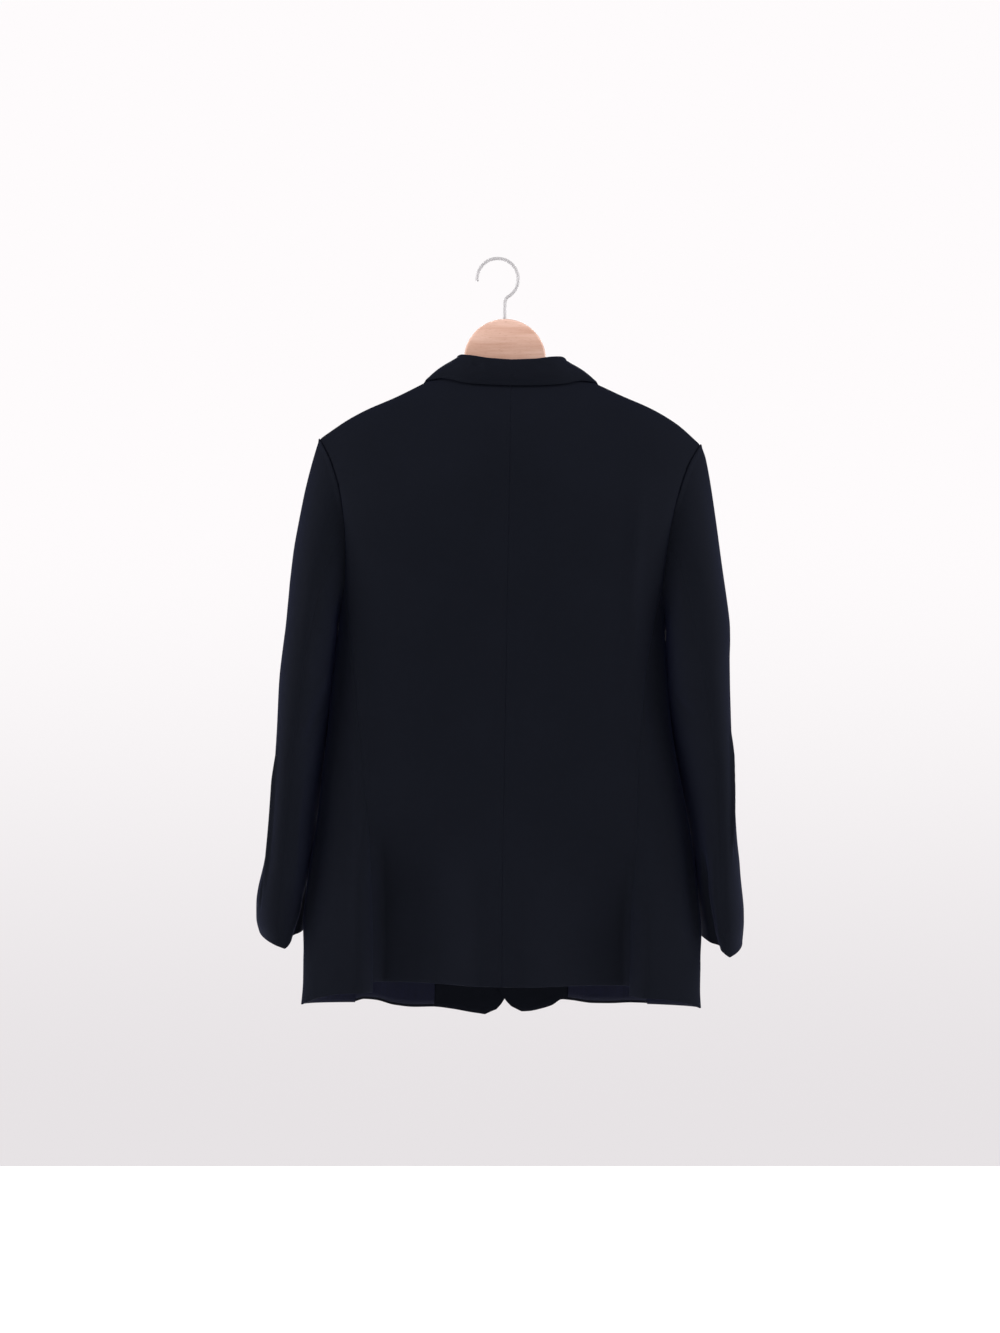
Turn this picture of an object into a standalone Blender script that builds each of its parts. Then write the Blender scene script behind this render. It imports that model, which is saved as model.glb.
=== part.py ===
"""Single breasted blazer on a wooden hanger.

Units are metres and +Z is up. The hanger hangs by its hook, and the origin lies inside the top
of the hook's bend. The back of the blazer faces -Y and its front +Y, so +X is the wearer's right.
The blazer is drawn upright about its own middle line, with heights below the hook's bend, and an
empty then tilts blazer and hanger together, because they hang a little low on the right.

Every cloth piece is a thin wall. Its outer side is a sheet of points on the garment's surface,
and its inner side is the same sheet moved in by the wall's thickness.
"""

import math
from typing import NamedTuple

import bmesh
import bpy
import numpy as np
from mathutils import Matrix, Vector

# How the whole hangs.
LEAN = math.radians(1.0)
BLAZER_OFFSET = 0.0185
HANGER_OFFSET = 0.0105

# Cloth.
CLOTH = 0.0020
LINING = 0.0010
GAP = 0.0003
HALF_GAP = GAP / 2
LAID_GAP = 0.0010

# Body of the blazer.
BACK_SQUARENESS = 2.7
FRONT_SQUARENESS = 2.5
SHOULDER_FALL = 0.160
SHOULDER_SHARPNESS = 0.70
UNDERARM = -0.440
SHOULDER_TIP = 0.2315
NECK_HALF_WIDTH = 0.0755
BACK_NECK = -0.148
BACK_HEM = -0.8805
BACK_SPLIT = 0.790
BACK_SPLIT_GAP = 0.0002
VENT_TOP = -0.700
VENT_FOLD_DEPTH = 0.008
VENT_FOLD_FROM_MIDDLE = 0.132
VENT_FOLD_WIDTH = 0.026
VENT_LAP = 0.036

# Fronts.
OVERLAP = 0.016
OVERLAP_LIFT = 0.0045
OVERLAP_RAMP = 0.030
ROLL_TOP = (0.058, -0.190)
ROLL_BREAK = (-OVERLAP, -0.545)
CORNER_WIDTH = 0.042
CORNER_HEIGHT = 0.095
FACING_SHARE = 0.50
FACING_COLUMNS = 7
SEAM_SHARE = 0.0015
LINING_HEM_SHARE = 0.0045

# Collar and lapels, as distances from the middle line and heights.
NOTCH = (0.098, -0.232)
NOTCH_GAP = 0.0036
LAPEL_POINT = (0.1350, -0.2455)
LAPEL_NOTCH_SHARE = 0.58
COLLAR_NOTCH_SHARE = 0.62
LAPEL_BELLY = 0.009
LAPEL_ROLL = 0.0035
COLLAR_FOLD_WIDTH = 0.0048
COLLAR_SEAM = 0.0026

# Sleeves.
CUFF_SLOPE = 0.020
SLEEVE_SEAM = 0.0009
HIND_SEAM = math.radians(262)
ARMHOLE_STEPS = 24

# Pockets and buttons of the fronts.
FLAP_TOP = -0.628
FLAP_DEPTH = 0.052
FLAP_INNER = 0.072
FLAP_OUTER = 0.198
WELT_DEPTH = 0.022
WELT_INNER = 0.104
WELT_OUTER = 0.178
WELT_HEIGHT = -0.345
WELT_RISE = 0.012
BUTTON_HEIGHTS = (-0.567, -0.677)
BUTTON_RADIUS = 0.010
BUTTON_THICKNESS = 0.0040

# Hanger and hook.
WOOD_THICKNESS = 0.012
DOME_RADIUS = 0.0500
DOME_TOP = -0.0718
NECK_FOOT = -0.130
ARM_LENGTH = 0.205
ARM_SEAT = 0.0112
WIRE_RADIUS = 0.00195
BEND_RADIUS = 0.025
STEM_OFFSET = -0.0013
STEM_TURN = 0.010
STEM_DEPTH = 0.014


class Section(NamedTuple):
    """Body of the blazer at one height."""

    height: float
    half_width: float
    back_depth: float
    front_depth: float


BODY = (
    Section(-0.925, 0.2420, 0.043, 0.046),
    Section(-0.880, 0.2385, 0.044, 0.048),
    Section(-0.850, 0.2390, 0.045, 0.049),
    Section(-0.810, 0.2440, 0.046, 0.051),
    Section(-0.755, 0.2405, 0.046, 0.054),
    Section(-0.660, 0.2265, 0.047, 0.060),
    Section(-0.566, 0.2085, 0.051, 0.070),
    Section(-0.440, 0.1975, 0.061, 0.083),
    Section(-0.350, 0.2060, 0.065, 0.082),
    Section(-0.290, 0.2210, 0.063, 0.074),
    Section(-0.222, 0.2450, 0.057, 0.062),
    Section(-0.130, 0.2620, 0.050, 0.052),
)


class Station(NamedTuple):
    """One point of an outline: a place along it and the value there."""

    along: float
    value: float


# Height of the shoulder ridge at each distance from the middle.
RIDGE = (
    Station(0.0000, -0.103),
    Station(0.0755, -0.137),
    Station(0.1030, -0.150),
    Station(0.1360, -0.166),
    Station(0.1770, -0.184),
    Station(0.2030, -0.199),
    Station(0.2320, -0.222),
)

# Distance of the back panel's outer edge from the middle: side seam, then armhole.
BACK_EDGE = (
    Station(-0.925, 0.1580),
    Station(-0.800, 0.1590),
    Station(-0.700, 0.1620),
    Station(-0.600, 0.1670),
    Station(-0.500, 0.1760),
    Station(-0.440, 0.1855),
    Station(-0.395, 0.1920),
    Station(-0.350, 0.1945),
    Station(-0.305, 0.2005),
    Station(-0.250, 0.2165),
    Station(-0.222, SHOULDER_TIP),
)

# The same for the front panel's outer edge.
FRONT_EDGE = (
    Station(-0.925, 0.180),
    Station(-0.700, 0.174),
    Station(-0.560, 0.162),
    Station(-0.460, 0.163),
    Station(-0.425, 0.169),
    Station(-0.380, 0.180),
    Station(-0.330, 0.187),
    Station(-0.290, 0.196),
    Station(-0.250, 0.2125),
    Station(-0.222, SHOULDER_TIP),
)
BACK_JUNCTION = -0.395
FRONT_JUNCTION = -0.425

# Height of each front's hem at each distance from the middle, and of the side body's hem.
LEFT_HEM = (
    Station(0.020, -0.9200),
    Station(0.034, -0.9192),
    Station(0.090, -0.9130),
    Station(0.155, -0.9035),
    Station(0.240, -0.9030),
)
RIGHT_HEM = (
    Station(0.020, -0.9170),
    Station(0.034, -0.9160),
    Station(0.052, -0.9085),
    Station(0.075, -0.9015),
    Station(0.160, -0.9020),
    Station(0.240, -0.9030),
)
SIDE_HEM_AT_VENT = -0.8925
SIDE_HEM = -0.9030


# Front neck seam and roll line: distance of the front's inner edge at each height.
NECK_EDGE = (
    Station(ROLL_TOP[1], ROLL_TOP[0]),
    Station(-0.170, 0.0640),
    Station(-0.150, 0.0705),
    Station(-0.137, NECK_HALF_WIDTH),
)


class CollarStation(NamedTuple):
    """One place round the collar, from the centre back to its front end.

    The seam and the edge are given by their distance from the middle line and their drop below
    the shoulder ridge, which is negative on the back. The fold is a free point.
    """

    seam_across: float
    seam_drop: float
    fold_across: float
    fold_depth: float
    fold_height: float
    edge_across: float
    edge_drop: float


COLLAR = (
    CollarStation(0.0000, -0.0450, 0.0000, -0.0350, -0.1215, 0.0000, -0.0530),
    CollarStation(0.0280, -0.0330, 0.0280, -0.0325, -0.1195, 0.0300, -0.0385),
    CollarStation(0.0520, -0.0180, 0.0490, -0.0235, -0.1165, 0.0600, -0.0225),
    CollarStation(0.0690, -0.0045, 0.0600, -0.0100, -0.1160, 0.0850, -0.0065),
    CollarStation(0.0755, 0.0000, 0.0625, 0.0040, -0.1190, 0.1020, 0.0000),
    CollarStation(0.0725, 0.0095, 0.0635, 0.0200, -0.1330, 0.1120, 0.0100),
    CollarStation(0.0660, 0.0300, 0.0620, 0.0360, -0.1570, 0.1185, 0.0280),
    CollarStation(0.0585, 0.0590, 0.0590, 0.0490, -0.1870, 0.1215, 0.0490),
)


class SleeveRing(NamedTuple):
    """One ring of a sleeve: its upper outer point, its lower inner point and its fore-aft size.

    skew is how far its fore side swings in and its hind side out.
    """

    outer_across: float
    outer_height: float
    inner_across: float
    inner_height: float
    half_depth: float
    forward: float
    skew: float


SLEEVE = (
    SleeveRing(0.2325, -0.2220, 0.1985, -0.4400, 0.044, 0.010, 0.000),
    SleeveRing(0.2420, -0.2620, 0.2005, -0.4480, 0.052, 0.008, 0.000),
    SleeveRing(0.2540, -0.3200, 0.2020, -0.4600, 0.062, 0.006, 0.002),
    SleeveRing(0.2635, -0.3850, 0.2035, -0.4850, 0.069, 0.005, 0.005),
    SleeveRing(0.2710, -0.4550, 0.2070, -0.5200, 0.071, 0.006, 0.009),
    SleeveRing(0.2745, -0.5250, 0.2125, -0.5650, 0.070, 0.010, 0.012),
    SleeveRing(0.2765, -0.6000, 0.2230, -0.6250, 0.068, 0.018, 0.014),
    SleeveRing(0.2800, -0.6700, 0.2345, -0.6850, 0.065, 0.029, 0.013),
    SleeveRing(0.2875, -0.7350, 0.2420, -0.7400, 0.063, 0.041, 0.010),
    SleeveRing(0.2950, -0.7850, 0.2460, -0.7850, 0.061, 0.050, 0.006),
    SleeveRing(0.2955, -0.8210, 0.2470, -0.8210, 0.060, 0.056, 0.004),
)


def smooth_curve(stations):
    """Return a monotone cubic through the stations, level beyond both ends."""
    along = np.array([station[0] for station in stations])
    value = np.array([station[1] for station in stations])
    steps = np.diff(along)
    rises = np.diff(value) / steps
    slopes = np.zeros_like(value)
    slopes[0] = rises[0]
    slopes[-1] = rises[-1]
    for i in range(1, len(along) - 1):
        if rises[i - 1] * rises[i] > 0:
            first = 2 * steps[i] + steps[i - 1]
            second = steps[i] + 2 * steps[i - 1]
            slopes[i] = (first + second) / (first / rises[i - 1] + second / rises[i])

    def at(place):
        place = min(max(place, along[0]), along[-1])
        i = min(max(int(np.searchsorted(along, place)) - 1, 0), len(steps) - 1)
        t = (place - along[i]) / steps[i]
        start = (1 + 2 * t) * (1 - t) ** 2 * value[i] + t * (1 - t) ** 2 * steps[i] * slopes[i]
        end = t * t * (3 - 2 * t) * value[i + 1] - t * t * (1 - t) * steps[i] * slopes[i + 1]
        return float(start + end)

    return at


def columns_of(table, keys):
    """Return a smooth curve for each column of a table, over the given places."""
    return {
        field: smooth_curve([(key, getattr(row, field)) for key, row in zip(keys, table)])
        for field in table[0]._fields
    }


body = columns_of(BODY, [row.height for row in BODY])
ridge = smooth_curve(RIDGE)
back_edge = smooth_curve(BACK_EDGE)
front_edge = smooth_curve(FRONT_EDGE)
neck_edge = smooth_curve(NECK_EDGE)
front_hem = {-1: smooth_curve(LEFT_HEM), 1: smooth_curve(RIGHT_HEM)}
collar_rows = columns_of(COLLAR, range(len(COLLAR)))
sleeve_rows = columns_of(SLEEVE, range(len(SLEEVE)))


def eased(value):
    """Return a smooth step from 0 to 1 over the values 0 to 1."""
    value = min(max(value, 0.0), 1.0)
    return value * value * (3 - 2 * value)


def shoulder_taper(across, height):
    """Return how much of its full depth the body has reached below the shoulder ridge."""
    below = min(max((ridge(abs(across)) - height) / SHOULDER_FALL, 0.0), 1.0)
    return math.sin(math.pi / 2 * below ** SHOULDER_SHARPNESS)


def vent_fold(across, height):
    """Return how far the back sinks beside the side vents, towards the hem."""
    down = eased((VENT_TOP + 0.04 - height) / (VENT_TOP + 0.04 - BACK_HEM))
    off = (abs(across) - VENT_FOLD_FROM_MIDDLE) / VENT_FOLD_WIDTH
    return VENT_FOLD_DEPTH * down * math.exp(-off * off)


def surface(across, height, face):
    """Return a point of the blazer's surface; face is -1 on the back and 1 on the front."""
    squareness = BACK_SQUARENESS if face < 0 else FRONT_SQUARENESS
    depth = body["back_depth" if face < 0 else "front_depth"](height)
    share = min(abs(across) / body["half_width"](height), 1.0)
    depth *= (1 - share ** squareness) ** (1 / squareness) * shoulder_taper(across, height)
    if face < 0:
        depth -= vent_fold(across, height)
    return Vector((across, face * depth, height))


def outward(across, height, face):
    """Return the unit normal of the blazer's surface."""
    if ridge(abs(across)) - height < 0.0006:
        slope = (ridge(abs(across) + 0.002) - ridge(abs(across) - 0.002)) / 0.004
        return Vector((-slope * math.copysign(1, across), 0, 1)).normalized()
    step = 0.0004
    sideways = surface(across + step, height, face) - surface(across - step, height, face)
    upwards = surface(across, height + step, face) - surface(across, height - step, face)
    return (sideways.cross(upwards) * -face).normalized()


def turned(turn, height):
    """Return a point of the body and its normal; turn is 0 at the back, pi / 2 at the side."""

    def place(angle, level):
        face = -1 if angle < math.pi / 2 else 1
        squareness = BACK_SQUARENESS if face < 0 else FRONT_SQUARENESS
        across = body["half_width"](level) * math.sin(angle) ** (2 / squareness)
        depth = body["back_depth" if face < 0 else "front_depth"](level)
        inward = vent_fold(across, level) if face < 0 else 0
        reach = depth * abs(math.cos(angle)) ** (2 / squareness) - inward
        return Vector((across, face * reach, level))

    step = 0.004
    sideways = place(turn + step, height) - place(turn - step, height)
    upwards = place(turn, height + step / 8) - place(turn, height - step / 8)
    return place(turn, height), sideways.cross(upwards).normalized()


def turn_of(across, height, face):
    """Return the turn round the body at which it lies this far from the middle."""
    squareness = BACK_SQUARENESS if face < 0 else FRONT_SQUARENESS
    share = min(across / body["half_width"](height), 1.0)
    angle = math.asin(share ** (squareness / 2))
    return angle if face < 0 else math.pi - angle


def new_material(name, colour, roughness, metallic=0.0):
    """Return a plain material with the given linear colour."""
    material = bpy.data.materials.new(name)
    material.use_nodes = True
    shader = material.node_tree.nodes["Principled BSDF"]
    shader.inputs["Base Color"].default_value = (*colour, 1)
    shader.inputs["Roughness"].default_value = roughness
    shader.inputs["Metallic"].default_value = metallic
    return material


def add_object(name, mesh, material, parent):
    """Link a mesh as an object with its material, under its parent."""
    mesh.materials.append(material)
    piece = bpy.data.objects.new(name, mesh)
    piece.parent = parent
    bpy.context.collection.objects.link(piece)
    return piece


def add_wall(name, material, parent, place, columns, rows, thickness):
    """Add a closed wall over a sheet.

    place(u, v) gives a point of the sheet and the unit vector out of it. columns and rows are
    the places, from 0 to 1, of the sheet's lines.
    """
    mesh_build = bmesh.new()
    bmesh.ops.create_grid(
        mesh_build, x_segments=len(columns) - 1, y_segments=len(rows) - 1, size=0.5
    )
    inward = mesh_build.verts.layers.float_vector.new("inward")
    for vert in mesh_build.verts:
        column = round((vert.co.x + 0.5) * (len(columns) - 1))
        row = round((vert.co.y + 0.5) * (len(rows) - 1))
        point, normal = place(columns[column], rows[row])
        vert.co = point
        vert[inward] = -normal * thickness
    grown = bmesh.ops.extrude_face_region(mesh_build, geom=mesh_build.faces[:])
    for item in grown["geom"]:
        if isinstance(item, bmesh.types.BMVert):
            item.co += item[inward]
    bmesh.ops.recalc_face_normals(mesh_build, faces=mesh_build.faces[:])
    mesh = bpy.data.meshes.new(name)
    mesh_build.to_mesh(mesh)
    mesh_build.free()
    mesh.shade_smooth()
    mesh.set_sharp_from_angle(angle=math.radians(50))
    return add_object(name, mesh, material, parent)


def even(count):
    """Return count + 1 evenly spaced places from 0 to 1."""
    return [i / count for i in range(count + 1)]


def levels(below_top, above_hem, between):
    """Return places from hem to top: close at both ends and evenly spaced between.

    The first two list distances as shares of the height, and between is a count.
    """
    low = above_hem[-1]
    high = 1 - below_top[-1]
    middle = [low + (high - low) * i / between for i in range(1, between)]
    return [*above_hem, *middle, *[1 - share for share in reversed(below_top)]]


def settle(hem, top, across_at, u, v):
    """Find the place of a panel's point, whose column and ends depend on where it lies.

    hem(across) and top(across) are heights, and across_at(u, height) is a column's place.
    """
    height = hem(0.1) + v * (top(0.1) - hem(0.1))
    for _ in range(30):
        across = across_at(u, height)
        target = hem(across) + v * (top(across) - hem(across))
        height += 0.7 * (target - height)
    return across_at(u, height), height


def panel_top(across):
    """Return the height of the back panel's top: neckline, then shoulder seam."""
    share = abs(across) / NECK_HALF_WIDTH
    if share >= 1:
        return ridge(abs(across))
    return BACK_NECK + (ridge(NECK_HALF_WIDTH) - BACK_NECK) * share ** 3


def back_place(side):
    """Return the sheet of a back panel."""

    def place(u, v):
        across, height = settle(
            lambda _: BACK_HEM,
            panel_top,
            lambda share, level: HALF_GAP + share * (back_edge(level) - GAP),
            u,
            v,
        )
        normal = outward(across, height, -1)
        point = surface(across, height, -1)
        if ridge(across) - height < 0.0006:
            point.y -= HALF_GAP
        return mirrored(point, side), mirrored(normal, side)

    return place


def mirrored(vector, side):
    """Return a vector drawn for +X on its own side."""
    return Vector((vector.x * side, vector.y, vector.z))


def roll_line(height):
    """Return the distance of a front's inner edge from the middle, without its corner."""
    if height > ROLL_TOP[1]:
        return neck_edge(height)
    share = min((ROLL_TOP[1] - height) / (ROLL_TOP[1] - ROLL_BREAK[1]), 1)
    return ROLL_TOP[0] + share * (ROLL_BREAK[0] - ROLL_TOP[0])


def front_column(side):
    """Return the place of a front's columns, crowded aside by its rounded corner."""
    low = front_hem[side](0.02)

    def at(u, height):
        inner = roll_line(height)
        sunk = min(max((low + CORNER_HEIGHT - height) / CORNER_HEIGHT, 0), 1)
        corner = CORNER_WIDTH * (1 - math.sqrt(1 - sunk * sunk))
        crowding = max(1 - u / FACING_SHARE, 0) ** 2
        return inner + u * (front_edge(height) - GAP - inner) + corner * crowding

    return at


def front_surface(across, height, side):
    """Return a point and normal of a front's outer side; across is towards its own side.

    The left front lies over the right one, so it is lifted where they overlap.
    """
    point = surface(across, height, 1)
    normal = outward(across, height, 1)
    if side < 0:
        point.y += OVERLAP_LIFT * eased((OVERLAP_RAMP + 0.018 - across) / OVERLAP_RAMP)
    return point, normal


def front_place(side, depth_in):
    """Return a sheet on a front, moved in by depth_in."""
    column = front_column(side)
    hem = front_hem[side]

    def place(u, v):
        across, height = settle(hem, lambda at: ridge(abs(at)), column, u, v)
        point, normal = front_surface(across, height, side)
        point -= normal * depth_in
        if ridge(abs(across)) - height < 0.0006:
            point.y += HALF_GAP
        return mirrored(point, side), mirrored(normal, side)

    return place


def side_top(turn):
    """Return the height of the side body's top edge, which is the foot of the armhole."""
    at_back = turn_of(back_edge(BACK_JUNCTION), BACK_JUNCTION, -1)
    at_front = turn_of(front_edge(FRONT_JUNCTION), FRONT_JUNCTION, 1)
    if turn < math.pi / 2:
        share = (math.pi / 2 - turn) / (math.pi / 2 - at_back)
        return UNDERARM + (BACK_JUNCTION - UNDERARM) * share ** 2
    share = (turn - math.pi / 2) / (at_front - math.pi / 2)
    return UNDERARM + (FRONT_JUNCTION - UNDERARM) * share ** 2


def side_hem(turn):
    """Return the height of the side body's hem."""
    share = eased((turn - math.radians(45)) / math.radians(45))
    return SIDE_HEM_AT_VENT + (SIDE_HEM - SIDE_HEM_AT_VENT) * share


def side_place(side):
    """Return the sheet of a side body."""

    def place(u, v):
        height = -0.65
        turn = math.pi / 2
        for _ in range(30):
            start = turn_of(back_edge(height) + HALF_GAP, height, -1)
            stop = turn_of(front_edge(height) + GAP * 2, height, 1)
            turn = start + u * (stop - start)
            target = side_hem(turn) + v * (side_top(turn) - side_hem(turn))
            height += 0.7 * (target - height)
        point, normal = turned(turn, height)
        return mirrored(point, side), mirrored(normal, side)

    return place


def vent_lap_place(side):
    """Return the sheet of the underlap below the back panel at a side vent."""

    def place(u, v):
        height = BACK_HEM + 0.002 + v * (VENT_TOP - BACK_HEM)
        across = back_edge(height) - VENT_LAP * (1 - u) - GAP
        normal = outward(across, height, -1)
        point = surface(across, height, -1) - normal * (CLOTH + GAP * 2)
        return mirrored(point, side), mirrored(normal, side)

    return place


def armhole():
    """Return the sleeve's seam, and the angles at which it meets the side body's two seams.

    The seam is a function of the angle round the armhole: 0 at the shoulder, pi at its foot.
    """
    path = []
    tip = ridge(SHOULDER_TIP)
    for i in range(ARMHOLE_STEPS):
        height = tip + (FRONT_JUNCTION - tip) * i / ARMHOLE_STEPS
        across = front_edge(height)
        path.append((surface(across, height, 1), outward(across, height, 1)))
    at_front = turn_of(front_edge(FRONT_JUNCTION), FRONT_JUNCTION, 1)
    at_back = turn_of(back_edge(BACK_JUNCTION), BACK_JUNCTION, -1)
    for i in range(ARMHOLE_STEPS):
        turn = at_front + (at_back - at_front) * i / ARMHOLE_STEPS
        path.append(turned(turn, side_top(turn)))
    for i in range(ARMHOLE_STEPS + 1):
        height = BACK_JUNCTION + (tip - BACK_JUNCTION) * i / ARMHOLE_STEPS
        across = back_edge(height)
        path.append((surface(across, height, -1), outward(across, height, -1)))
    last = len(path) - 1
    seam = []
    for i, (point, normal) in enumerate(path):
        onwards = path[min(i + 1, last)][0] - path[max(i - 1, 0)][0]
        away = onwards.cross(normal).normalized()
        seam.append(point + away * SLEEVE_SEAM + normal * (SLEEVE_SEAM / 2))
    points = np.array(seam)
    lengths = np.concatenate([[0], np.cumsum(np.linalg.norm(np.diff(points, axis=0), axis=1))])
    low = lengths[int(np.argmin(points[:, 2]))]

    def at(angle):
        angle %= 2 * math.pi
        if angle <= math.pi:
            length = low * angle / math.pi
        else:
            length = low + (lengths[-1] - low) * (angle / math.pi - 1)
        return Vector([float(np.interp(length, lengths, points[:, axis])) for axis in range(3)])

    fore = math.pi * lengths[ARMHOLE_STEPS] / low
    hind = math.pi * (1 + (lengths[2 * ARMHOLE_STEPS] - low) / (lengths[-1] - low))
    return at, fore, hind


def sleeve_point(hole, angle, along):
    """Return a point of the right sleeve; along is 0 at the armhole and 1 at the cuff."""
    row = along * (len(SLEEVE) - 1)
    ring = {field: curve(row) for field, curve in sleeve_rows.items()}
    outer = Vector((ring["outer_across"], ring["forward"], ring["outer_height"]))
    inner = Vector((ring["inner_across"], ring["forward"], ring["inner_height"]))
    free = (outer + inner) / 2 + (outer - inner) / 2 * math.cos(angle)
    free.y += ring["half_depth"] * math.sin(angle)
    free.x -= ring["skew"] * math.sin(angle)
    free.z += CUFF_SLOPE * math.sin(angle) * eased((along - 0.55) / 0.45)
    return hole(angle).lerp(free, eased(along / 0.42))


def sleeve_place(side, hole, fore):
    """Return the sheet of a sleeve, whose columns are angles round it.

    The two edges of a seam share one normal, so their walls stay the same distance apart.
    """

    def place(angle, v):
        along = 1 - v
        point = sleeve_point(hole, angle, along)
        middle = angle
        for seam in (fore, HIND_SEAM, HIND_SEAM - math.tau):
            if abs(angle - seam) < 0.02:
                middle = seam
        step = 0.004
        wide = 0.08
        here = sleeve_point(hole, middle, along)
        if along < step:
            further = sleeve_point(hole, middle, along + step) - here
        else:
            further = here - sleeve_point(hole, middle, along - step)
        before = sleeve_point(hole, middle - wide, along)
        round_it = sleeve_point(hole, middle + wide, along) - before
        normal = further.cross(round_it).normalized()
        return mirrored(point, side), mirrored(normal, side)

    return place


def lapel_place(side):
    """Return the sheet of a lapel, turned back over its front."""
    tip = Vector(LAPEL_POINT)
    notch = Vector(NOTCH)
    top = Vector(ROLL_TOP)
    foot = Vector(ROLL_BREAK)
    edge_line = tip - foot
    belly = Vector((edge_line.y, -edge_line.x)).normalized() * LAPEL_BELLY

    def place(u, v):
        down = 1 - v
        inner = top.lerp(foot, down)
        outer = tip.lerp(foot, down) + belly * math.sin(math.pi * down)
        flat = inner.lerp(outer, u)
        if u < LAPEL_NOTCH_SHARE:
            upper = top.lerp(notch, u / LAPEL_NOTCH_SHARE)
        else:
            upper = notch.lerp(tip, (u - LAPEL_NOTCH_SHARE) / (1 - LAPEL_NOTCH_SHARE))
        across, height = flat.lerp(upper, (1 - eased(down * 6)))
        if side > 0:
            covered = -roll_line(height) + 0.0015
            across = max(across, covered + 0.002 * u)
        point, normal = front_surface(across, height, side)
        roll = LAPEL_ROLL * math.sin(math.pi * min(u * 1.25, 1.0)) ** 2 * eased(v * 8)
        height_above = LAID_GAP * 1.5 + CLOTH + roll
        return mirrored(point + normal * height_above, side), mirrored(normal, side)

    return place


def on_shoulder(across, drop):
    """Return a point of the body near the shoulder and its normal, by its signed drop."""
    face = -1 if drop < 0 else 1
    height = ridge(across) - abs(drop)
    return surface(across, height, face), outward(across, height, face)


def collar_profile(station):
    """Return the middle line of the collar's section at one place round the neck."""
    row = {field: curve(station) for field, curve in collar_rows.items()}
    seam, seam_normal = on_shoulder(row["seam_across"], row["seam_drop"])
    edge, edge_normal = on_shoulder(row["edge_across"], row["edge_drop"])
    fold = Vector((row["fold_across"], row["fold_depth"], row["fold_height"]))
    edge = edge + edge_normal * (CLOTH / 2 + LAID_GAP)
    seam = seam - seam_normal * (CLOTH / 2) + Vector((0, 0, 1)) * COLLAR_SEAM
    return seam, fold, edge


def build_collar(material, parent):
    """Add the collar: stand and fall in one wall, folded over at the top."""
    count = 16
    last = len(COLLAR) - 1
    stations = [last * (i / count - 1) for i in range(2 * count + 1)]

    def middle(station, share):
        seam, fold, edge = collar_profile(abs(station))
        across = Vector((fold.x, fold.y, 0)).normalized()
        half = across * (COLLAR_FOLD_WIDTH / 2)
        stand_top = fold - half - Vector((0, 0, COLLAR_FOLD_WIDTH * 0.55))
        fall_top = fold + half - Vector((0, 0, COLLAR_FOLD_WIDTH * 0.55))
        if share <= 0.3:
            return seam.lerp(stand_top, share / 0.3)
        if share < 0.5:
            bend = math.pi * (share - 0.3) / 0.2
            centre = (stand_top + fall_top) / 2
            rise = Vector((0, 0, COLLAR_FOLD_WIDTH * 0.55)) * math.sin(bend)
            return centre - half * math.cos(bend) + rise
        down = (share - 0.5) / 0.5
        point = fall_top.lerp(edge, down)
        near_end = eased((abs(station) - last + 1.6) / 1.6)
        if near_end > 0:
            point = collar_end(point, fall_top, edge, down, near_end)
        return point

    def place(u, v):
        station = stations[round(u * (len(stations) - 1))]
        side = -1 if station < 0 else 1
        step = 0.01
        here = middle(station, v)
        lower = middle(station, max(v - step, 0))
        upper = middle(station, min(v + step, 1))
        onwards = middle(abs(station) + step, v) - middle(max(abs(station) - step, 0), v)
        if abs(station) < step:
            onwards = Vector((1, 0, 0))
        normal = (upper - lower).cross(onwards).normalized()
        point = mirrored(here + normal * CLOTH / 2, side)
        return point, mirrored(normal, side)

    profile = [0, 0.15, 0.3, 0.35, 0.4, 0.45, 0.5, 0.6, 0.7, 0.8, 0.9, 1.0]
    return add_wall("collar", material, parent, place, even(2 * count), profile, CLOTH)


def collar_end(point, fall_top, edge, down, near_end):
    """Return a point of the fall near the collar's front end, dropped towards the notch."""
    top = Vector((fall_top.x, fall_top.z))
    corner = Vector((edge.x, edge.z))
    notch = Vector(NOTCH) + Vector((-NOTCH_GAP / 2, NOTCH_GAP))
    if down < COLLAR_NOTCH_SHARE:
        end = top.lerp(notch, down / COLLAR_NOTCH_SHARE)
    else:
        end = notch.lerp(corner, (down - COLLAR_NOTCH_SHARE) / (1 - COLLAR_NOTCH_SHARE))
    across, height = Vector((point.x, point.z)).lerp(end, near_end ** 2)
    under, normal = surface(across, height, 1), outward(across, height, 1)
    laid = under + normal * (CLOTH / 2 + LAID_GAP + 0.003 * (1 - down))
    return Vector((across, max(laid.y, point.y * (1 - near_end) + laid.y * near_end), height))


def build_flap(side, material, parent):
    """Add a pocket flap, lying on the front and the side body."""

    def place(u, v):
        width = FLAP_OUTER - FLAP_INNER
        across = FLAP_INNER + u * width
        from_middle = abs(2 * u - 1)
        low = FLAP_TOP - FLAP_DEPTH + 0.014 * from_middle ** 7
        height = low + v * (FLAP_TOP - low)
        turn = turn_of(across, height, 1)
        point, normal = turned(turn, height)
        return mirrored(point + normal * (LAID_GAP + CLOTH), side), mirrored(normal, side)

    name = "pocket_flap_left" if side < 0 else "pocket_flap_right"
    columns = [0, 0.04, 0.1, 0.2, 0.35, 0.5, 0.65, 0.8, 0.9, 0.96, 1.0]
    return add_wall(name, material, parent, place, columns, even(3), CLOTH)


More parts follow.
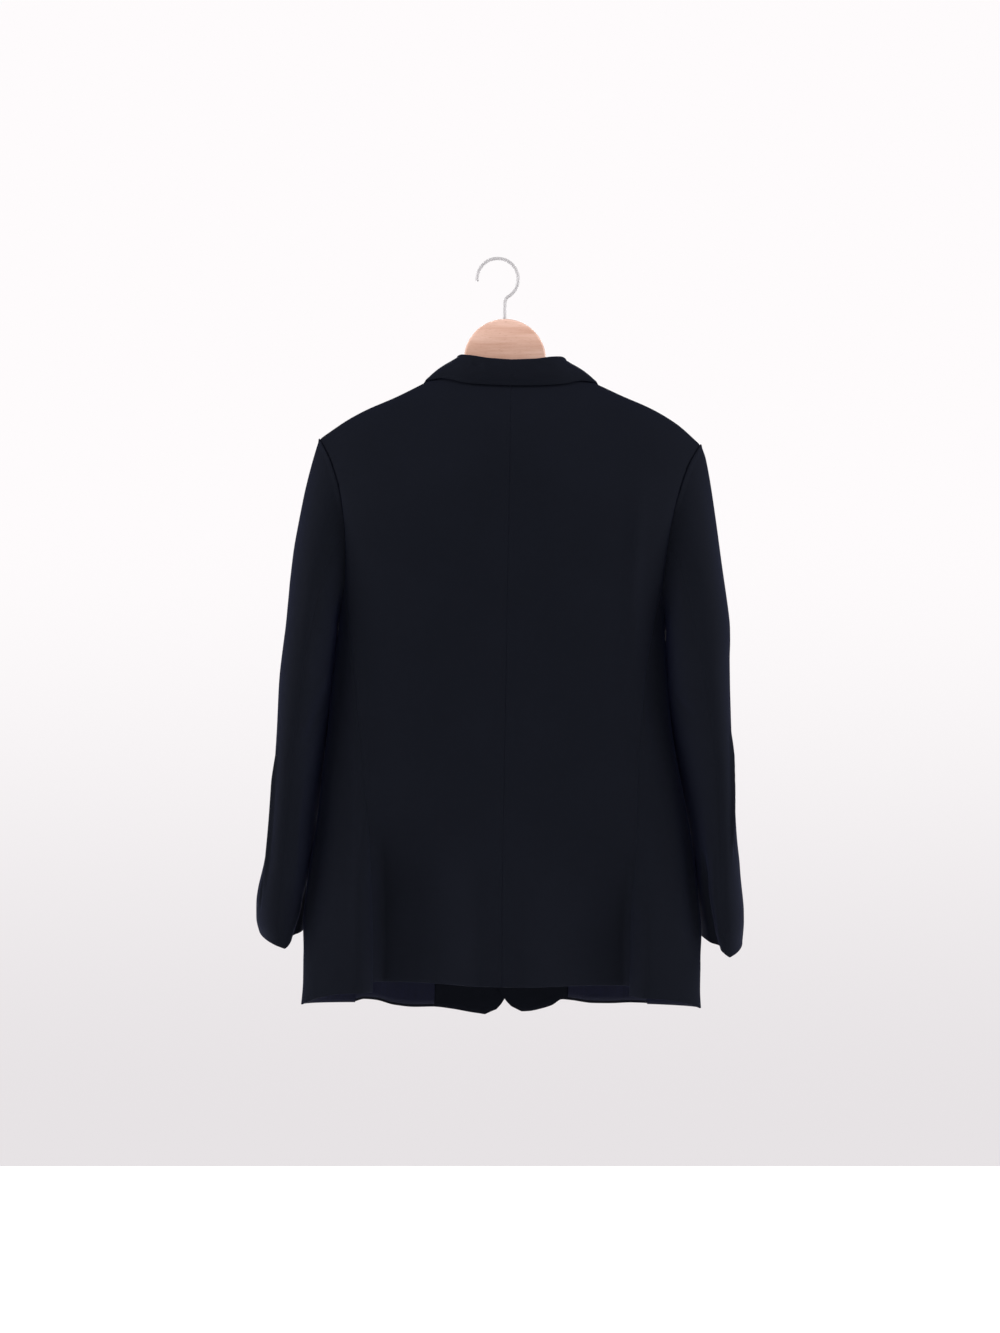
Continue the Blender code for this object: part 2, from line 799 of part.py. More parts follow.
def build_welt(material, parent):
    """Add the breast welt on the left front."""

    def place(u, v):
        across = WELT_INNER + u * (WELT_OUTER - WELT_INNER)
        height = WELT_HEIGHT + u * WELT_RISE + v * WELT_DEPTH
        point, normal = front_surface(across, height, -1)
        return mirrored(point + normal * (GAP + CLOTH), -1), mirrored(normal, -1)

    return add_wall("breast_welt", material, parent, place, even(6), even(2), CLOTH)


def build_button(name, height, material, parent):
    """Add a front button: a turned disc with a raised rim, seated on the left front."""
    profile = (
        (0.0, 0.0),
        (BUTTON_RADIUS * 0.80, 0.0),
        (BUTTON_RADIUS, BUTTON_THICKNESS * 0.40),
        (BUTTON_RADIUS, BUTTON_THICKNESS * 0.70),
        (BUTTON_RADIUS * 0.92, BUTTON_THICKNESS),
        (BUTTON_RADIUS * 0.80, BUTTON_THICKNESS),
        (BUTTON_RADIUS * 0.68, BUTTON_THICKNESS * 0.72),
        (0.0, BUTTON_THICKNESS * 0.66),
    )
    turned_disc = bmesh.new()
    verts = [turned_disc.verts.new((radius, 0, level)) for radius, level in profile]
    edges = [turned_disc.edges.new(pair) for pair in zip(verts, verts[1:])]
    bmesh.ops.spin(
        turned_disc,
        geom=verts + edges,
        axis=(0, 0, 1),
        cent=(0, 0, 0),
        angle=math.tau,
        steps=20,
        use_merge=True,
    )
    bmesh.ops.remove_doubles(turned_disc, verts=turned_disc.verts[:], dist=1e-6)
    point, normal = front_surface(0.0, height, -1)
    seat = point + normal * (GAP * 1.5)
    turn = Vector((0, 0, 1)).rotation_difference(normal).to_matrix().to_4x4()
    bmesh.ops.transform(turned_disc, matrix=Matrix.Translation(seat) @ turn, verts=turned_disc.verts)
    bmesh.ops.recalc_face_normals(turned_disc, faces=turned_disc.faces[:])
    mesh = bpy.data.meshes.new(name)
    turned_disc.to_mesh(mesh)
    turned_disc.free()
    mesh.shade_smooth()
    mesh.set_sharp_from_angle(angle=math.radians(35))
    return add_object(name, mesh, material, parent)


def arm_top(across):
    """Return the height of the hanger's upper edge at a distance from its middle."""
    if across <= DOME_RADIUS:
        centre = DOME_TOP - DOME_RADIUS
        return centre + math.sqrt(max(DOME_RADIUS ** 2 - across ** 2, 0))
    seat = ridge(across + BLAZER_OFFSET - HANGER_OFFSET) - ARM_SEAT
    join = eased((across - DOME_RADIUS) / 0.012)
    return NECK_FOOT + (seat - NECK_FOOT) * join


def arm_bottom(across):
    """Return the height of the hanger's lower edge at a distance from its middle."""
    share = across / ARM_LENGTH
    seat = ridge(across + BLAZER_OFFSET - HANGER_OFFSET) - ARM_SEAT
    return seat - 0.056 + 0.034 * eased(share * 1.1)


def build_hanger(material, parent):
    """Add the wooden hanger: a flat board with a domed neck, sloping arms and rounded edges."""
    upper = [DOME_RADIUS * math.sin(math.radians(angle)) for angle in range(0, 90, 9)]
    upper += [DOME_RADIUS, 0.0515, 0.054, 0.058, 0.064, 0.080, 0.105, 0.130, 0.155, 0.180, 0.195]
    half = [(across, arm_top(across)) for across in upper]
    end_middle = (arm_top(ARM_LENGTH) + arm_bottom(ARM_LENGTH)) / 2
    end_radius = (arm_top(0.195) - arm_bottom(0.195)) / 2
    for angle in (55, 20, -20, -55):
        turn = math.radians(angle)
        half.append((0.1955 + end_radius * math.cos(turn), end_middle + end_radius * math.sin(turn)))
    for across in (0.190, 0.150, 0.110, 0.070, 0.035):
        half.append((across, arm_bottom(across)))
    half.append((0.0, arm_bottom(0.0)))
    outline = half + [(-across, height) for across, height in half[-2:0:-1]]
    board = bmesh.new()
    verts = [board.verts.new((across, -WOOD_THICKNESS / 2, height)) for across, height in outline]
    face = board.faces.new(verts)
    grown = bmesh.ops.extrude_face_region(board, geom=[face])
    raised = [item for item in grown["geom"] if isinstance(item, bmesh.types.BMVert)]
    bmesh.ops.translate(board, verts=raised, vec=(0, WOOD_THICKNESS, 0))
    bmesh.ops.recalc_face_normals(board, faces=board.faces[:])
    rims = [edge for edge in board.edges if abs(edge.verts[0].co.y - edge.verts[1].co.y) < 1e-6]
    bmesh.ops.bevel(
        board, geom=rims, offset=0.0032, segments=2, profile=0.5, affect="EDGES", material=-1
    )
    mesh = bpy.data.meshes.new("hanger_wood")
    board.to_mesh(mesh)
    board.free()
    mesh.shade_smooth()
    mesh.set_sharp_from_angle(angle=math.radians(40))
    wood = add_object("hanger_wood", mesh, material, parent)

    cutter_mesh = bmesh.new()
    bmesh.ops.create_cone(
        cutter_mesh,
        cap_ends=True,
        segments=16,
        radius1=WIRE_RADIUS + GAP * 1.3,
        radius2=WIRE_RADIUS + GAP * 1.3,
        depth=2 * (STEM_DEPTH + GAP),
    )
    drill = bpy.data.meshes.new("stem_drill")
    cutter_mesh.to_mesh(drill)
    cutter_mesh.free()
    cutter = add_object("stem_drill", drill, material, parent)
    cutter.location = (STEM_OFFSET, 0, DOME_TOP)
    cutter.hide_render = True
    cutter.display_type = "WIRE"
    bore = wood.modifiers.new("stem_bore", "BOOLEAN")
    bore.operation = "DIFFERENCE"
    bore.object = cutter
    return wood


def build_hook(material, parent):
    """Add the wire hook: a round bend, a short turn back and a straight stem into the wood."""
    stem_across = HANGER_OFFSET + STEM_OFFSET
    reach = BEND_RADIUS + STEM_TURN
    centre = Vector((0, 0, -BEND_RADIUS + WIRE_RADIUS))
    fall = math.sqrt(reach ** 2 - (stem_across + STEM_TURN) ** 2)
    last = -math.degrees(math.asin(fall / reach))
    route = []
    for i in range(27):
        angle = math.radians(184 + (last - 184) * i / 26)
        route.append(centre + Vector((math.cos(angle), 0, math.sin(angle))) * BEND_RADIUS)
    turn_centre = centre + Vector((stem_across + STEM_TURN, 0, -fall))
    for i in range(1, 5):
        angle = math.radians(180 + last + (-last) * i / 4)
        route.append(turn_centre + Vector((math.cos(angle), 0, math.sin(angle))) * STEM_TURN)
    route.append(Vector((stem_across, 0, DOME_TOP - STEM_DEPTH)))

    wire = bpy.data.curves.new("hanger_hook", "CURVE")
    wire.dimensions = "3D"
    wire.bevel_depth = WIRE_RADIUS
    wire.bevel_resolution = 2
    wire.use_fill_caps = True
    spline = wire.splines.new("POLY")
    spline.points.add(len(route) - 1)
    for point, place in zip(spline.points, route):
        point.co = (*place, 1)
    return add_object("hanger_hook", wire, material, parent)


def build_body(cloth, satin, parent):
    """Add the blazer's body: backs, sides, vent laps, fronts, facings and front linings.

    Each back panel is two solids, which part across the shoulder blades, where the curve of the
    shoulders begins.
    """
    back_rows = levels((0, 0.005, 0.016, 0.036, 0.066, 0.105), (0, 0.035), 13)
    front_rows = levels(
        (0, 0.005, 0.016, 0.036, 0.066, 0.105),
        (0, 0.0012, 0.0055, 0.014, 0.028, 0.047, 0.070, 0.097, 0.125),
        14,
    )
    front_columns = [0, 0.05, 0.11, 0.17, 0.24, 0.32, 0.41, FACING_SHARE, 0.61, 0.74, 0.87, 1]
    neck_share = NECK_HALF_WIDTH / back_edge(ridge(SHOULDER_TIP))
    back_columns = [0, neck_share / 2, neck_share, 0.48, 0.62, 0.74, 0.84, 0.92, 1]
    for side, word in ((-1, "left"), (1, "right")):
        place = back_place(side)
        rows = [row for row in back_rows if row < BACK_SPLIT] + [BACK_SPLIT - BACK_SPLIT_GAP]
        add_wall("back_" + word, cloth, parent, place, back_columns, rows, CLOTH)
        rows = [BACK_SPLIT + BACK_SPLIT_GAP] + [row for row in back_rows if row > BACK_SPLIT]
        add_wall("upper_back_" + word, cloth, parent, place, back_columns, rows, CLOTH)
        place = side_place(side)
        add_wall("side_" + word, cloth, parent, place, even(8), levels((0, 0.02, 0.05, 0.09), (0,), 12), CLOTH)
        place = vent_lap_place(side)
        add_wall("vent_lap_" + word, cloth, parent, place, even(3), even(4), CLOTH)

        place = front_place(side, 0.0)
        add_wall("front_" + word, cloth, parent, place, front_columns, front_rows, CLOTH)
        place = front_place(side, CLOTH + LAID_GAP / 2)
        columns = [*front_columns[:FACING_COLUMNS], FACING_SHARE - SEAM_SHARE]
        add_wall("facing_" + word, cloth, parent, place, columns, front_rows[:18], LINING)
        columns = [FACING_SHARE + SEAM_SHARE, *front_columns[FACING_COLUMNS + 1 :]]
        rows = [LINING_HEM_SHARE, *front_rows[3:22]]
        add_wall("lining_" + word, satin, parent, place, columns, rows, LINING)


def between(start, stop, count):
    """Return count places from start on, evenly spaced, without the stop."""
    return [start + (stop - start) * i / count for i in range(count)]


def build_sleeves(material, parent):
    """Add the two-piece sleeves, whose fore seams start where the side body meets the front."""
    rows = [0, 0.1, 0.2, 0.3, 0.4, 0.5, 0.59, 0.67, 0.74, 0.81, 0.88, 0.95, 1]
    hole, fore, hind = armhole()
    gap = GAP / 0.05
    start = HIND_SEAM - math.tau + gap
    over = [*between(start, 0, 6), *between(0, fore - gap, 8), fore - gap]
    under = [*between(fore + gap, math.pi, 3), *between(math.pi, hind, 3)]
    under += [*between(hind, HIND_SEAM - gap, 2), HIND_SEAM - gap]
    for side, word in ((-1, "left"), (1, "right")):
        place = sleeve_place(side, hole, fore)
        add_wall("top_sleeve_" + word, material, parent, place, over, rows, CLOTH)
        add_wall("under_sleeve_" + word, material, parent, place, under, rows, CLOTH)


def build_lapels(material, parent):
    """Add the two lapels."""
    columns = [0, 0.08, 0.2, 0.4, LAPEL_NOTCH_SHARE, 0.8, 1]
    rows = [0.03, 0.1, 0.2, 0.32, 0.45, 0.58, 0.7, 0.8, 0.88, 0.94, 1]
    for side, word in ((-1, "left"), (1, "right")):
        add_wall("lapel_" + word, material, parent, lapel_place(side), columns, rows, CLOTH)


def main():
    """Build the whole model."""
    for old in list(bpy.data.objects):
        bpy.data.objects.remove(old, do_unlink=True)

    wool = new_material("navy_wool", (0.006, 0.007, 0.016), 0.85)
    satin = new_material("purple_satin", (0.030, 0.022, 0.070), 0.40)
    beech = new_material("beech", (0.74, 0.44, 0.30), 0.45)
    steel = new_material("steel_wire", (0.55, 0.56, 0.58), 0.30, 1.0)
    horn = new_material("dark_horn", (0.010, 0.010, 0.014), 0.35)

    tilt = bpy.data.objects.new("tilt", None)
    tilt.rotation_euler = (0, LEAN, 0)
    blazer = bpy.data.objects.new("blazer", None)
    blazer.location = (BLAZER_OFFSET, 0, 0)
    blazer.parent = tilt
    hanger = bpy.data.objects.new("hanger", None)
    hanger.location = (HANGER_OFFSET, 0, 0)
    hanger.parent = tilt
    for empty in (tilt, blazer, hanger):
        bpy.context.collection.objects.link(empty)

    build_body(wool, satin, blazer)
    build_sleeves(wool, blazer)
    build_collar(wool, blazer)
    build_lapels(wool, blazer)
    for side in (-1, 1):
        build_flap(side, wool, blazer)
    build_welt(wool, blazer)
    for name, height in zip(("button_upper", "button_lower"), BUTTON_HEIGHTS):
        build_button(name, height, horn, blazer)
    build_hanger(beech, hanger)
    build_hook(steel, tilt)


main()
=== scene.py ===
"""Looks of a navy single breasted blazer that hangs on a wooden hanger.

Units are metres and +Z is up. The back of the blazer faces -Y, so +X is the wearer's right. Each
cloth piece is drawn as a sheet of points on the hanging garment with its folds laid in, then
grown into a thin wall with softened edges. The garment is drawn upright about its own middle
line, and every piece is leaned with the hanger as its mesh is finished.

Distances are from that middle line, and negative on the wearer's left. Where something grows over
a pair of distances, heights or shares, it starts at the first and is full at the second.
"""

import logging
import math
from collections.abc import Callable, Sequence
from dataclasses import dataclass
from enum import Enum, IntEnum
from functools import cached_property

import bmesh
import bpy
import numpy as np
from bmesh.types import BMEdge, BMesh, BMFace, BMVert
from bpy.types import Material, Node, NodeSocket, NodeTree, Object
from mathutils import Matrix, Vector


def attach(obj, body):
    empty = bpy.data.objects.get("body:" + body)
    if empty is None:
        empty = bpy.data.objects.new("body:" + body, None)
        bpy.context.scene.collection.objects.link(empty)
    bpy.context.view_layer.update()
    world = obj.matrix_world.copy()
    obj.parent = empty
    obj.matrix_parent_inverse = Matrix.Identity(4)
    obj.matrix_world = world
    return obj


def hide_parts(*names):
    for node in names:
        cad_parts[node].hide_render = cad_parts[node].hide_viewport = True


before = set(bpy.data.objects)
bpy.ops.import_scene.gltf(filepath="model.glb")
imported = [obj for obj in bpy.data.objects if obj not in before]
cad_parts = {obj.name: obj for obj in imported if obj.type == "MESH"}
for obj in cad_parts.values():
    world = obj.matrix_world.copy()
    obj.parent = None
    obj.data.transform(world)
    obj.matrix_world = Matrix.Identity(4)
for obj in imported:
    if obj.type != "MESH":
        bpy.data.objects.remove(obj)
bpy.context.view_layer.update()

Array = np.ndarray
Place = tuple[float, float]
Line = tuple[Place, ...]
Rows = tuple[tuple[float, ...], ...]

log = logging.getLogger("blazer")

# How the whole hangs: its lean to the right, and how far its parts lie right of the hook's bend.
LEAN = math.radians(1.0)
BLAZER_OFFSET = 0.0185
HANGER_OFFSET = 0.0105

# How thick the cloths are, how far pieces overlap at seams, and how far they lie apart elsewhere.
CLOTH = 0.0020
LINING = 0.0010
SEAM_OVERLAP = 0.0003
CLEARANCE = 0.0005
LAID_GAP = 0.0010

# How near the shoulder's ridge a point counts as on it.
RIDGE_REACH = 0.0006

# How a panel's places are found: in so many rounds, each of which mends this share of the error.
SEARCH_ROUNDS = 30
MENDED_SHARE = 0.7

# How steeply a fold dies away: at its width, a twentieth of its lift is left.
FOLD_DECAY = 1.7

# How stitches pull at a seam: how far, and three waves in radians a metre that make it uneven.
STITCH_PULL = 0.00022
STITCH_WAVES = (571, 233, 97)

# How edge stitches lie: how far from the edge, how deep, and how wide their groove is.
EDGE_STITCH = (0.0055, 0.00018, 0.0009)


class Side(Enum):
    """The wearer's left, at -X, or right, at +X."""

    LEFT = -1
    RIGHT = 1

    @property
    def word(self) -> str:
        """Return the side's name in lower case."""
        return self.name.lower()

    @property
    def mirror(self) -> Array:
        """Return the factors that carry points drawn for the right to this side."""
        return np.array([self.value, 1, 1])


class Face(IntEnum):
    """The back of the body, at -Y, or its front, at +Y."""

    BACK = -1
    FRONT = 1


class Edge(Enum):
    """An edge of a sheet: its first or last column, or its lowest or highest row."""

    FIRST = "first"
    LAST = "last"
    HEM = "hem"
    TOP = "top"


class Slot(Enum):
    """The record's material slots."""

    WOOL = "navy_wool"
    SATIN = "purple_satin"
    HORN = "dark_horn"
    BEECH = "beech"
    STEEL = "steel_wire"


def leaned(offset: float) -> Matrix:
    """Return the matrix that shifts a piece sideways and leans it with the hanger."""
    return Matrix.Rotation(LEAN, 4, "Y") @ Matrix.Translation((offset, 0, 0))


def eased(value: Array | float) -> Array:
    """Return a smooth step from 0 to 1 over the values 0 to 1."""
    value = np.clip(value, 0.0, 1.0)
    return value * value * (3 - 2 * value)


def ramp(value: Array | float, start: float, stop: float) -> Array:
    """Return a smooth step that is 0 at one value and 1 at another."""
    return eased((value - start) / (stop - start))


def lerp(start: Array, stop: Array, share: Array) -> Array:
    """Return the points that lie at an array of shares between two arrays of points."""
    return start + (stop - start) * np.asarray(share)[..., None]


def bent(start: Array, middle: Array, stop: Array, share: Array, knee: float) -> Array:
    """Lay points along two straight lines.

    Args:
        start: Where the first line starts.
        middle: Where it ends and the second starts.
        stop: Where the second ends.
        share: The points' places, from 0 to 1.
        knee: The place of the middle.

    Returns:
        The points.
    """
    first = lerp(start, middle, np.minimum(share / knee, 1))
    second = lerp(middle, stop, np.clip((share - knee) / (1 - knee), 0, 1))
    return np.where((share < knee)[..., None], first, second)


def unit(vectors: Array) -> Array:
    """Return the vectors at length one."""
    return vectors / np.maximum(np.linalg.norm(vectors, axis=-1, keepdims=True), 1e-12)


def stacked(*columns: Array | float) -> Array:
    """Return points from their separate coordinates."""
    return np.stack(np.broadcast_arrays(*columns), axis=-1).astype(float)


def crowded(count: int, at_ends: float) -> Array:
    """Return places from 0 to 1 that lie closer together at both ends.

    Args:
        count: How many places.
        at_ends: From 0, evenly spaced, to 1, crowded.

    Returns:
        The places, in rising order.
    """
    place = np.linspace(0, 1, count)
    return place - at_ends * np.sin(math.tau * place) / math.tau


def rows_to(count: int, at_top: float) -> Array:
    """Return places from 0 to 1 that lie closer together at the top, by a share from 0 to 1."""
    place = np.linspace(0, 1, count)
    return place * (1 - at_top) + at_top * np.sin(place * math.pi / 2)


# The rows of the backs and the fronts, which meet along the shoulders.
PANEL_ROWS = rows_to(190, 0.8)


class SmoothCurve:
    """A monotone cubic through stations, level beyond both ends."""

    def __init__(self, stations: Sequence[Place]) -> None:
        """Work out the slope at each station.

        Args:
            stations: Pairs of a place and the value there, in rising order.
        """
        table = np.array(stations, float)
        self.along = table[:, 0]
        self.value = table[:, 1]
        self.steps = np.diff(self.along)
        rises = np.diff(self.value) / self.steps
        self.slopes = np.zeros_like(self.value)
        self.slopes[0] = rises[0]
        self.slopes[-1] = rises[-1]
        for i in range(1, len(rises)):
            if rises[i - 1] * rises[i] > 0:
                first = 2 * self.steps[i] + self.steps[i - 1]
                second = self.steps[i] + 2 * self.steps[i - 1]
                self.slopes[i] = (first + second) / (first / rises[i - 1] + second / rises[i])

    def __call__(self, place: Array | float) -> Array:
        """Read the curve.

        Args:
            place: Where to read it.

        Returns:
            Its values there.
        """
        place = np.clip(place, self.along[0], self.along[-1])
        i = np.clip(np.searchsorted(self.along, place) - 1, 0, len(self.steps) - 1)
        step = self.steps[i]
        t = (place - self.along[i]) / step
        start = (1 + 2 * t) * self.value[i] + t * step * self.slopes[i]
        end = (3 - 2 * t) * self.value[i + 1] - (1 - t) * step * self.slopes[i + 1]
        return (1 - t) ** 2 * start + t**2 * end


def curves_of(rows: Sequence[Sequence[float]], keys: Sequence[float]) -> list[SmoothCurve]:
    """Return a smooth curve for each column of a table, over the given places."""
    return [SmoothCurve(list(zip(keys, column))) for column in zip(*rows)]


@dataclass(frozen=True)
class Fold:
    """A soft ridge or trough pressed into cloth along a line.

    Attributes:
        line: The places it runs through.
        width: How far to its side it has all but died away.
        lift: Its height, which is negative for a trough.
        fade: The share of its length over which it grows from nothing at its start.
        fade_end: The same at its end, and 0 where it runs out over an edge.
    """

    line: Sequence[Place]
    width: float
    lift: float
    fade: float = 0.4
    fade_end: float = 0.4

    def at(self, across: Array, height: Array) -> Array:
        """Measure the fold at each place of a sheet.

        Args:
            across: The places' first coordinates, in the fold's own terms.
            height: Their second coordinates.

        Returns:
            How far the cloth is lifted at each.
        """
        points = np.array(self.line, float)
        lengths = np.linalg.norm(np.diff(points, axis=0), axis=1)
        starts = np.concatenate([[0], np.cumsum(lengths)])
        nearest = np.full(np.shape(across), np.inf)
        along = np.zeros(np.shape(across))
        for i, length in enumerate(lengths):
            step = (points[i + 1] - points[i]) / length
            off = (across - points[i, 0], height - points[i, 1])
            run = np.clip(off[0] * step[0] + off[1] * step[1], 0, length)
            distance = np.hypot(off[0] - run * step[0], off[1] - run * step[1])
            closer = distance < nearest
            nearest = np.where(closer, distance, nearest)
            along = np.where(closer, starts[i] + run, along)
        share = along / starts[-1]
        grown = eased(share / self.fade) if self.fade else 1.0
        if self.fade_end:
            grown = grown * eased((1 - share) / self.fade_end)
        return self.lift * grown * np.exp(-((FOLD_DECAY * nearest / self.width) ** 2))


def lifted(folds: Sequence[Fold], across: Array, height: Array) -> Array:
    """Add up the lifts of several folds.

    Args:
        folds: The folds.
        across: The places' first coordinates.
        height: Their second coordinates.

    Returns:
        How far the cloth is lifted at each place.
    """
    total = np.zeros(np.broadcast(across, height).shape)
    for fold in folds:
        total = total + fold.at(across, height)
    return total


@dataclass
class Sheet:
    """A grid of points over one cloth piece, with the way out of it at each point."""

    points: Array
    outward: Array

    def arcs(self, axis: int) -> Array:
        """Measure the cloth along one of the grid's axes.

        Args:
            axis: 0 up the columns, 1 along the rows.

        Returns:
            Each point's distance along the cloth from the grid's start.
        """
        steps = np.linalg.norm(np.diff(self.points, axis=axis), axis=-1)
        padding = [(0, 0), (0, 0)]
        padding[axis] = (1, 0)
        return np.pad(np.cumsum(steps, axis=axis), padding)

    def distance(self, edge: Edge) -> Array:
        """Measure the cloth from one of its edges.

        Args:
            edge: The edge.

        Returns:
            Each point's distance along the cloth from it.
        """
        arcs = self.arcs(1 if edge in (Edge.FIRST, Edge.LAST) else 0)
        if edge is Edge.LAST:
            return arcs[:, -1:] - arcs
        if edge is Edge.TOP:
            return arcs[-1:, :] - arcs
        return arcs

    def sewn(self, *edges: Edge, depth: float = 0.0007, width: float = 0.0018) -> "Sheet":
        """Sew some of the sheet's edges.

        Args:
            edges: The edges.
            depth: How deep the cloth dips at the seam.
            width: How wide the dip is.

        Returns:
            The sheet, dipped towards those edges, with the small pulls of the stitches.
        """
        points = self.points.copy()
        short, middling, long = STITCH_WAVES
        for edge in edges:
            off = self.distance(edge)
            along = self.arcs(0 if edge in (Edge.FIRST, Edge.LAST) else 1)
            pull = np.sin(along * short) * np.sin(along * middling + 1) * np.sin(along * long + 2)
            dip = depth * np.exp(-((off / width) ** 2))
            dip = dip + STITCH_PULL * pull * np.exp(-((off / (4 * width)) ** 2))
            points = points - self.outward * dip[..., None]
        return Sheet(points, self.outward)

    def edge_stitched(self, *edges: Edge) -> "Sheet":
        """Stitch along some of the sheet's edges.

        Args:
            edges: The edges.

        Returns:
            The sheet with a groove along each of those edges.
        """
        inset, depth, width = EDGE_STITCH
        sheet = self
        for edge in edges:
            off = sheet.distance(edge) - inset
            rise = -depth * np.exp(-((off / width) ** 2))
            sheet = Sheet(sheet.points + sheet.outward * rise[..., None], sheet.outward)
        return sheet

    def straightened(self) -> "Sheet":
        """Return the sheet with its ways out square to the surface that it now has."""
        down = np.gradient(self.points, axis=0)
        round_it = np.gradient(self.points, axis=1)
        normal = unit(np.cross(round_it, down))
        flip = np.sign(np.sum(normal * self.outward, axis=(0, 1, 2)))
        return Sheet(self.points, normal * flip)

    def cut(self) -> tuple[tuple[float, float], float]:
        """Return the flat piece that the sheet is cut from.

        Returns:
            Its greatest width and length, and its area, in metres and square metres.
        """
        across = np.diff(self.points, axis=1)[:-1]
        up = np.diff(self.points, axis=0)[:, :-1]
        area = float(np.linalg.norm(np.cross(across, up), axis=-1).sum())
        wide = float(self.arcs(1)[:, -1].max())
        long = max(float(self.arcs(0)[-1].max()), area / wide * 1.001)
        return (round(wide, 4), round(long, 4)), round(min(area, wide * long), 5)


@dataclass(frozen=True)
class Hang:
    """How the hanging blazer departs from its even form.

    The shoulders ride up by the distance, above the lifted heights, and the foot swings to the
    right. By the height, the waist and the sleeves' inner sides stand to the right, between the
    distances of its core and its reach.
    """

    shoulder: Line = (
        (-0.23, 0.0), (-0.205, -0.002), (-0.165, -0.0018), (-0.12, -0.0005),
        (-0.085, 0.0008), (-0.072, 0.001), (-0.05, 0.0), (0.062, 0.0),
        (0.09, 0.001), (0.123, 0.0026), (0.16, 0.0036), (0.2, 0.003),
        (0.232, 0.0012),
    )
    lifted: Place = (-0.360, -0.230)
    swing: float = 0.0012
    swung: Place = (-0.780, -0.840)
    waist: Line = (
        (-0.7, 0.0), (-0.6, -0.005), (-0.52, -0.007), (-0.44, -0.006),
        (-0.36, -0.003), (-0.28, 0.0),
    )
    waist_core: Place = (0.0, 0.13)
    waist_reach: Place = (0.250, 0.214)

    def settle(self, points: Array) -> Array:
        """Let cloth hang unevenly.

        Args:
            points: Points of the even garment.

        Returns:
            Where they lie once the cloth has settled.
        """
        across, _, height = np.moveaxis(points, -1, 0)
        inside = ramp(np.abs(across), *self.waist_reach) * ramp(np.abs(across), *self.waist_core)
        rise = SmoothCurve(self.shoulder)(across) * ramp(height, *self.lifted)
        sway = self.swing * ramp(height, *self.swung) + SmoothCurve(self.waist)(height) * inside
        return points + stacked(sway, 0, rise)


HANG = Hang()


def dressed(mesh_build: BMesh, name: str, *materials: Material,
            place: Matrix, sharp: float = 55) -> Object:
    """Finish a mesh: place it, write it to an object and smooth it.

    Args:
        mesh_build: The mesh, which is freed.
        name: The object's name.
        materials: The materials, in the order of the faces' material numbers.
        place: Where the mesh goes.
        sharp: The angle in degrees past which an edge stays sharp.

    Returns:
        The new object, at the origin.
    """
    bmesh.ops.transform(mesh_build, matrix=place, verts=mesh_build.verts[:])
    bmesh.ops.recalc_face_normals(mesh_build, faces=mesh_build.faces[:])
    if mesh_build.calc_volume(signed=True) < 0:
        bmesh.ops.reverse_faces(mesh_build, faces=mesh_build.faces[:])
    mesh = bpy.data.meshes.new(name)
    mesh_build.to_mesh(mesh)
    mesh_build.free()
    for material in materials:
        mesh.materials.append(material)
    mesh.shade_smooth()
    mesh.set_sharp_from_angle(angle=math.radians(sharp))
    piece = bpy.data.objects.new(name, mesh)
    bpy.context.collection.objects.link(piece)
    return piece


def of_kind(grown: dict, kind: type) -> list:
    """Return the vertices, edges or faces at the far end of what was extruded or spun."""
    return [item for item in grown.get("geom", grown.get("geom_last")) if isinstance(item, kind)]


@dataclass(frozen=True)
class Wall:
    """Cloth of one thickness, with softened edges."""

    thickness: float = CLOTH
    rim: float = 0.0007
    rim_share: float = 0.42  # of the thickness, at most
    rim_angle: float = 1.0  # in radians, past which the mesh turns an edge of the cloth

    def grow(self, name: str, sheet: Sheet, outside: Material,
             inside: Material | None = None) -> Object:
        """Grow a sheet into a closed wall.

        Args:
            name: The new object's name.
            sheet: The wall's outer side.
            outside: The material of the outer side and the edges.
            inside: The material of the inner side, where it differs.

        Returns:
            The new object.
        """
        sheet = Sheet(HANG.settle(sheet.points), sheet.outward).straightened()
        rows, columns = sheet.points.shape[:2]
        weft = sheet.arcs(1)
        warp = sheet.arcs(0)
        wall = bmesh.new()
        bmesh.ops.create_grid(wall, x_segments=columns - 1, y_segments=rows - 1, size=0.5)
        inward = wall.verts.layers.float_vector.new("inward")
        cloth_place = wall.verts.layers.float_vector.new("cloth_place")
        for vert in wall.verts:
            column = round((vert.co.x + 0.5) * (columns - 1))
            row = round((vert.co.y + 0.5) * (rows - 1))
            vert.co = sheet.points[row, column]
            vert[inward] = -self.thickness * sheet.outward[row, column]
            vert[cloth_place] = (weft[row, column], warp[row, column], 0)
        grown = bmesh.ops.extrude_face_region(wall, geom=wall.faces[:])
        for vert in of_kind(grown, BMVert):
            vert.co += vert[inward]
        if inside:
            for face in of_kind(grown, BMFace):
                face.material_index = 1
        wall.verts.layers.float_vector.remove(inward)
        wall.normal_update()
        rims = [edge for edge in wall.edges if edge.calc_face_angle(0) > self.rim_angle]
        bmesh.ops.bevel(
            wall, geom=rims, offset=min(self.rim, self.thickness * self.rim_share),
            offset_type="OFFSET", segments=2, profile=0.5, affect="EDGES", material=-1,
            clamp_overlap=True,
        )
        materials = (outside, inside) if inside else (outside,)
        return dressed(wall, name, *materials, place=leaned(BLAZER_OFFSET))


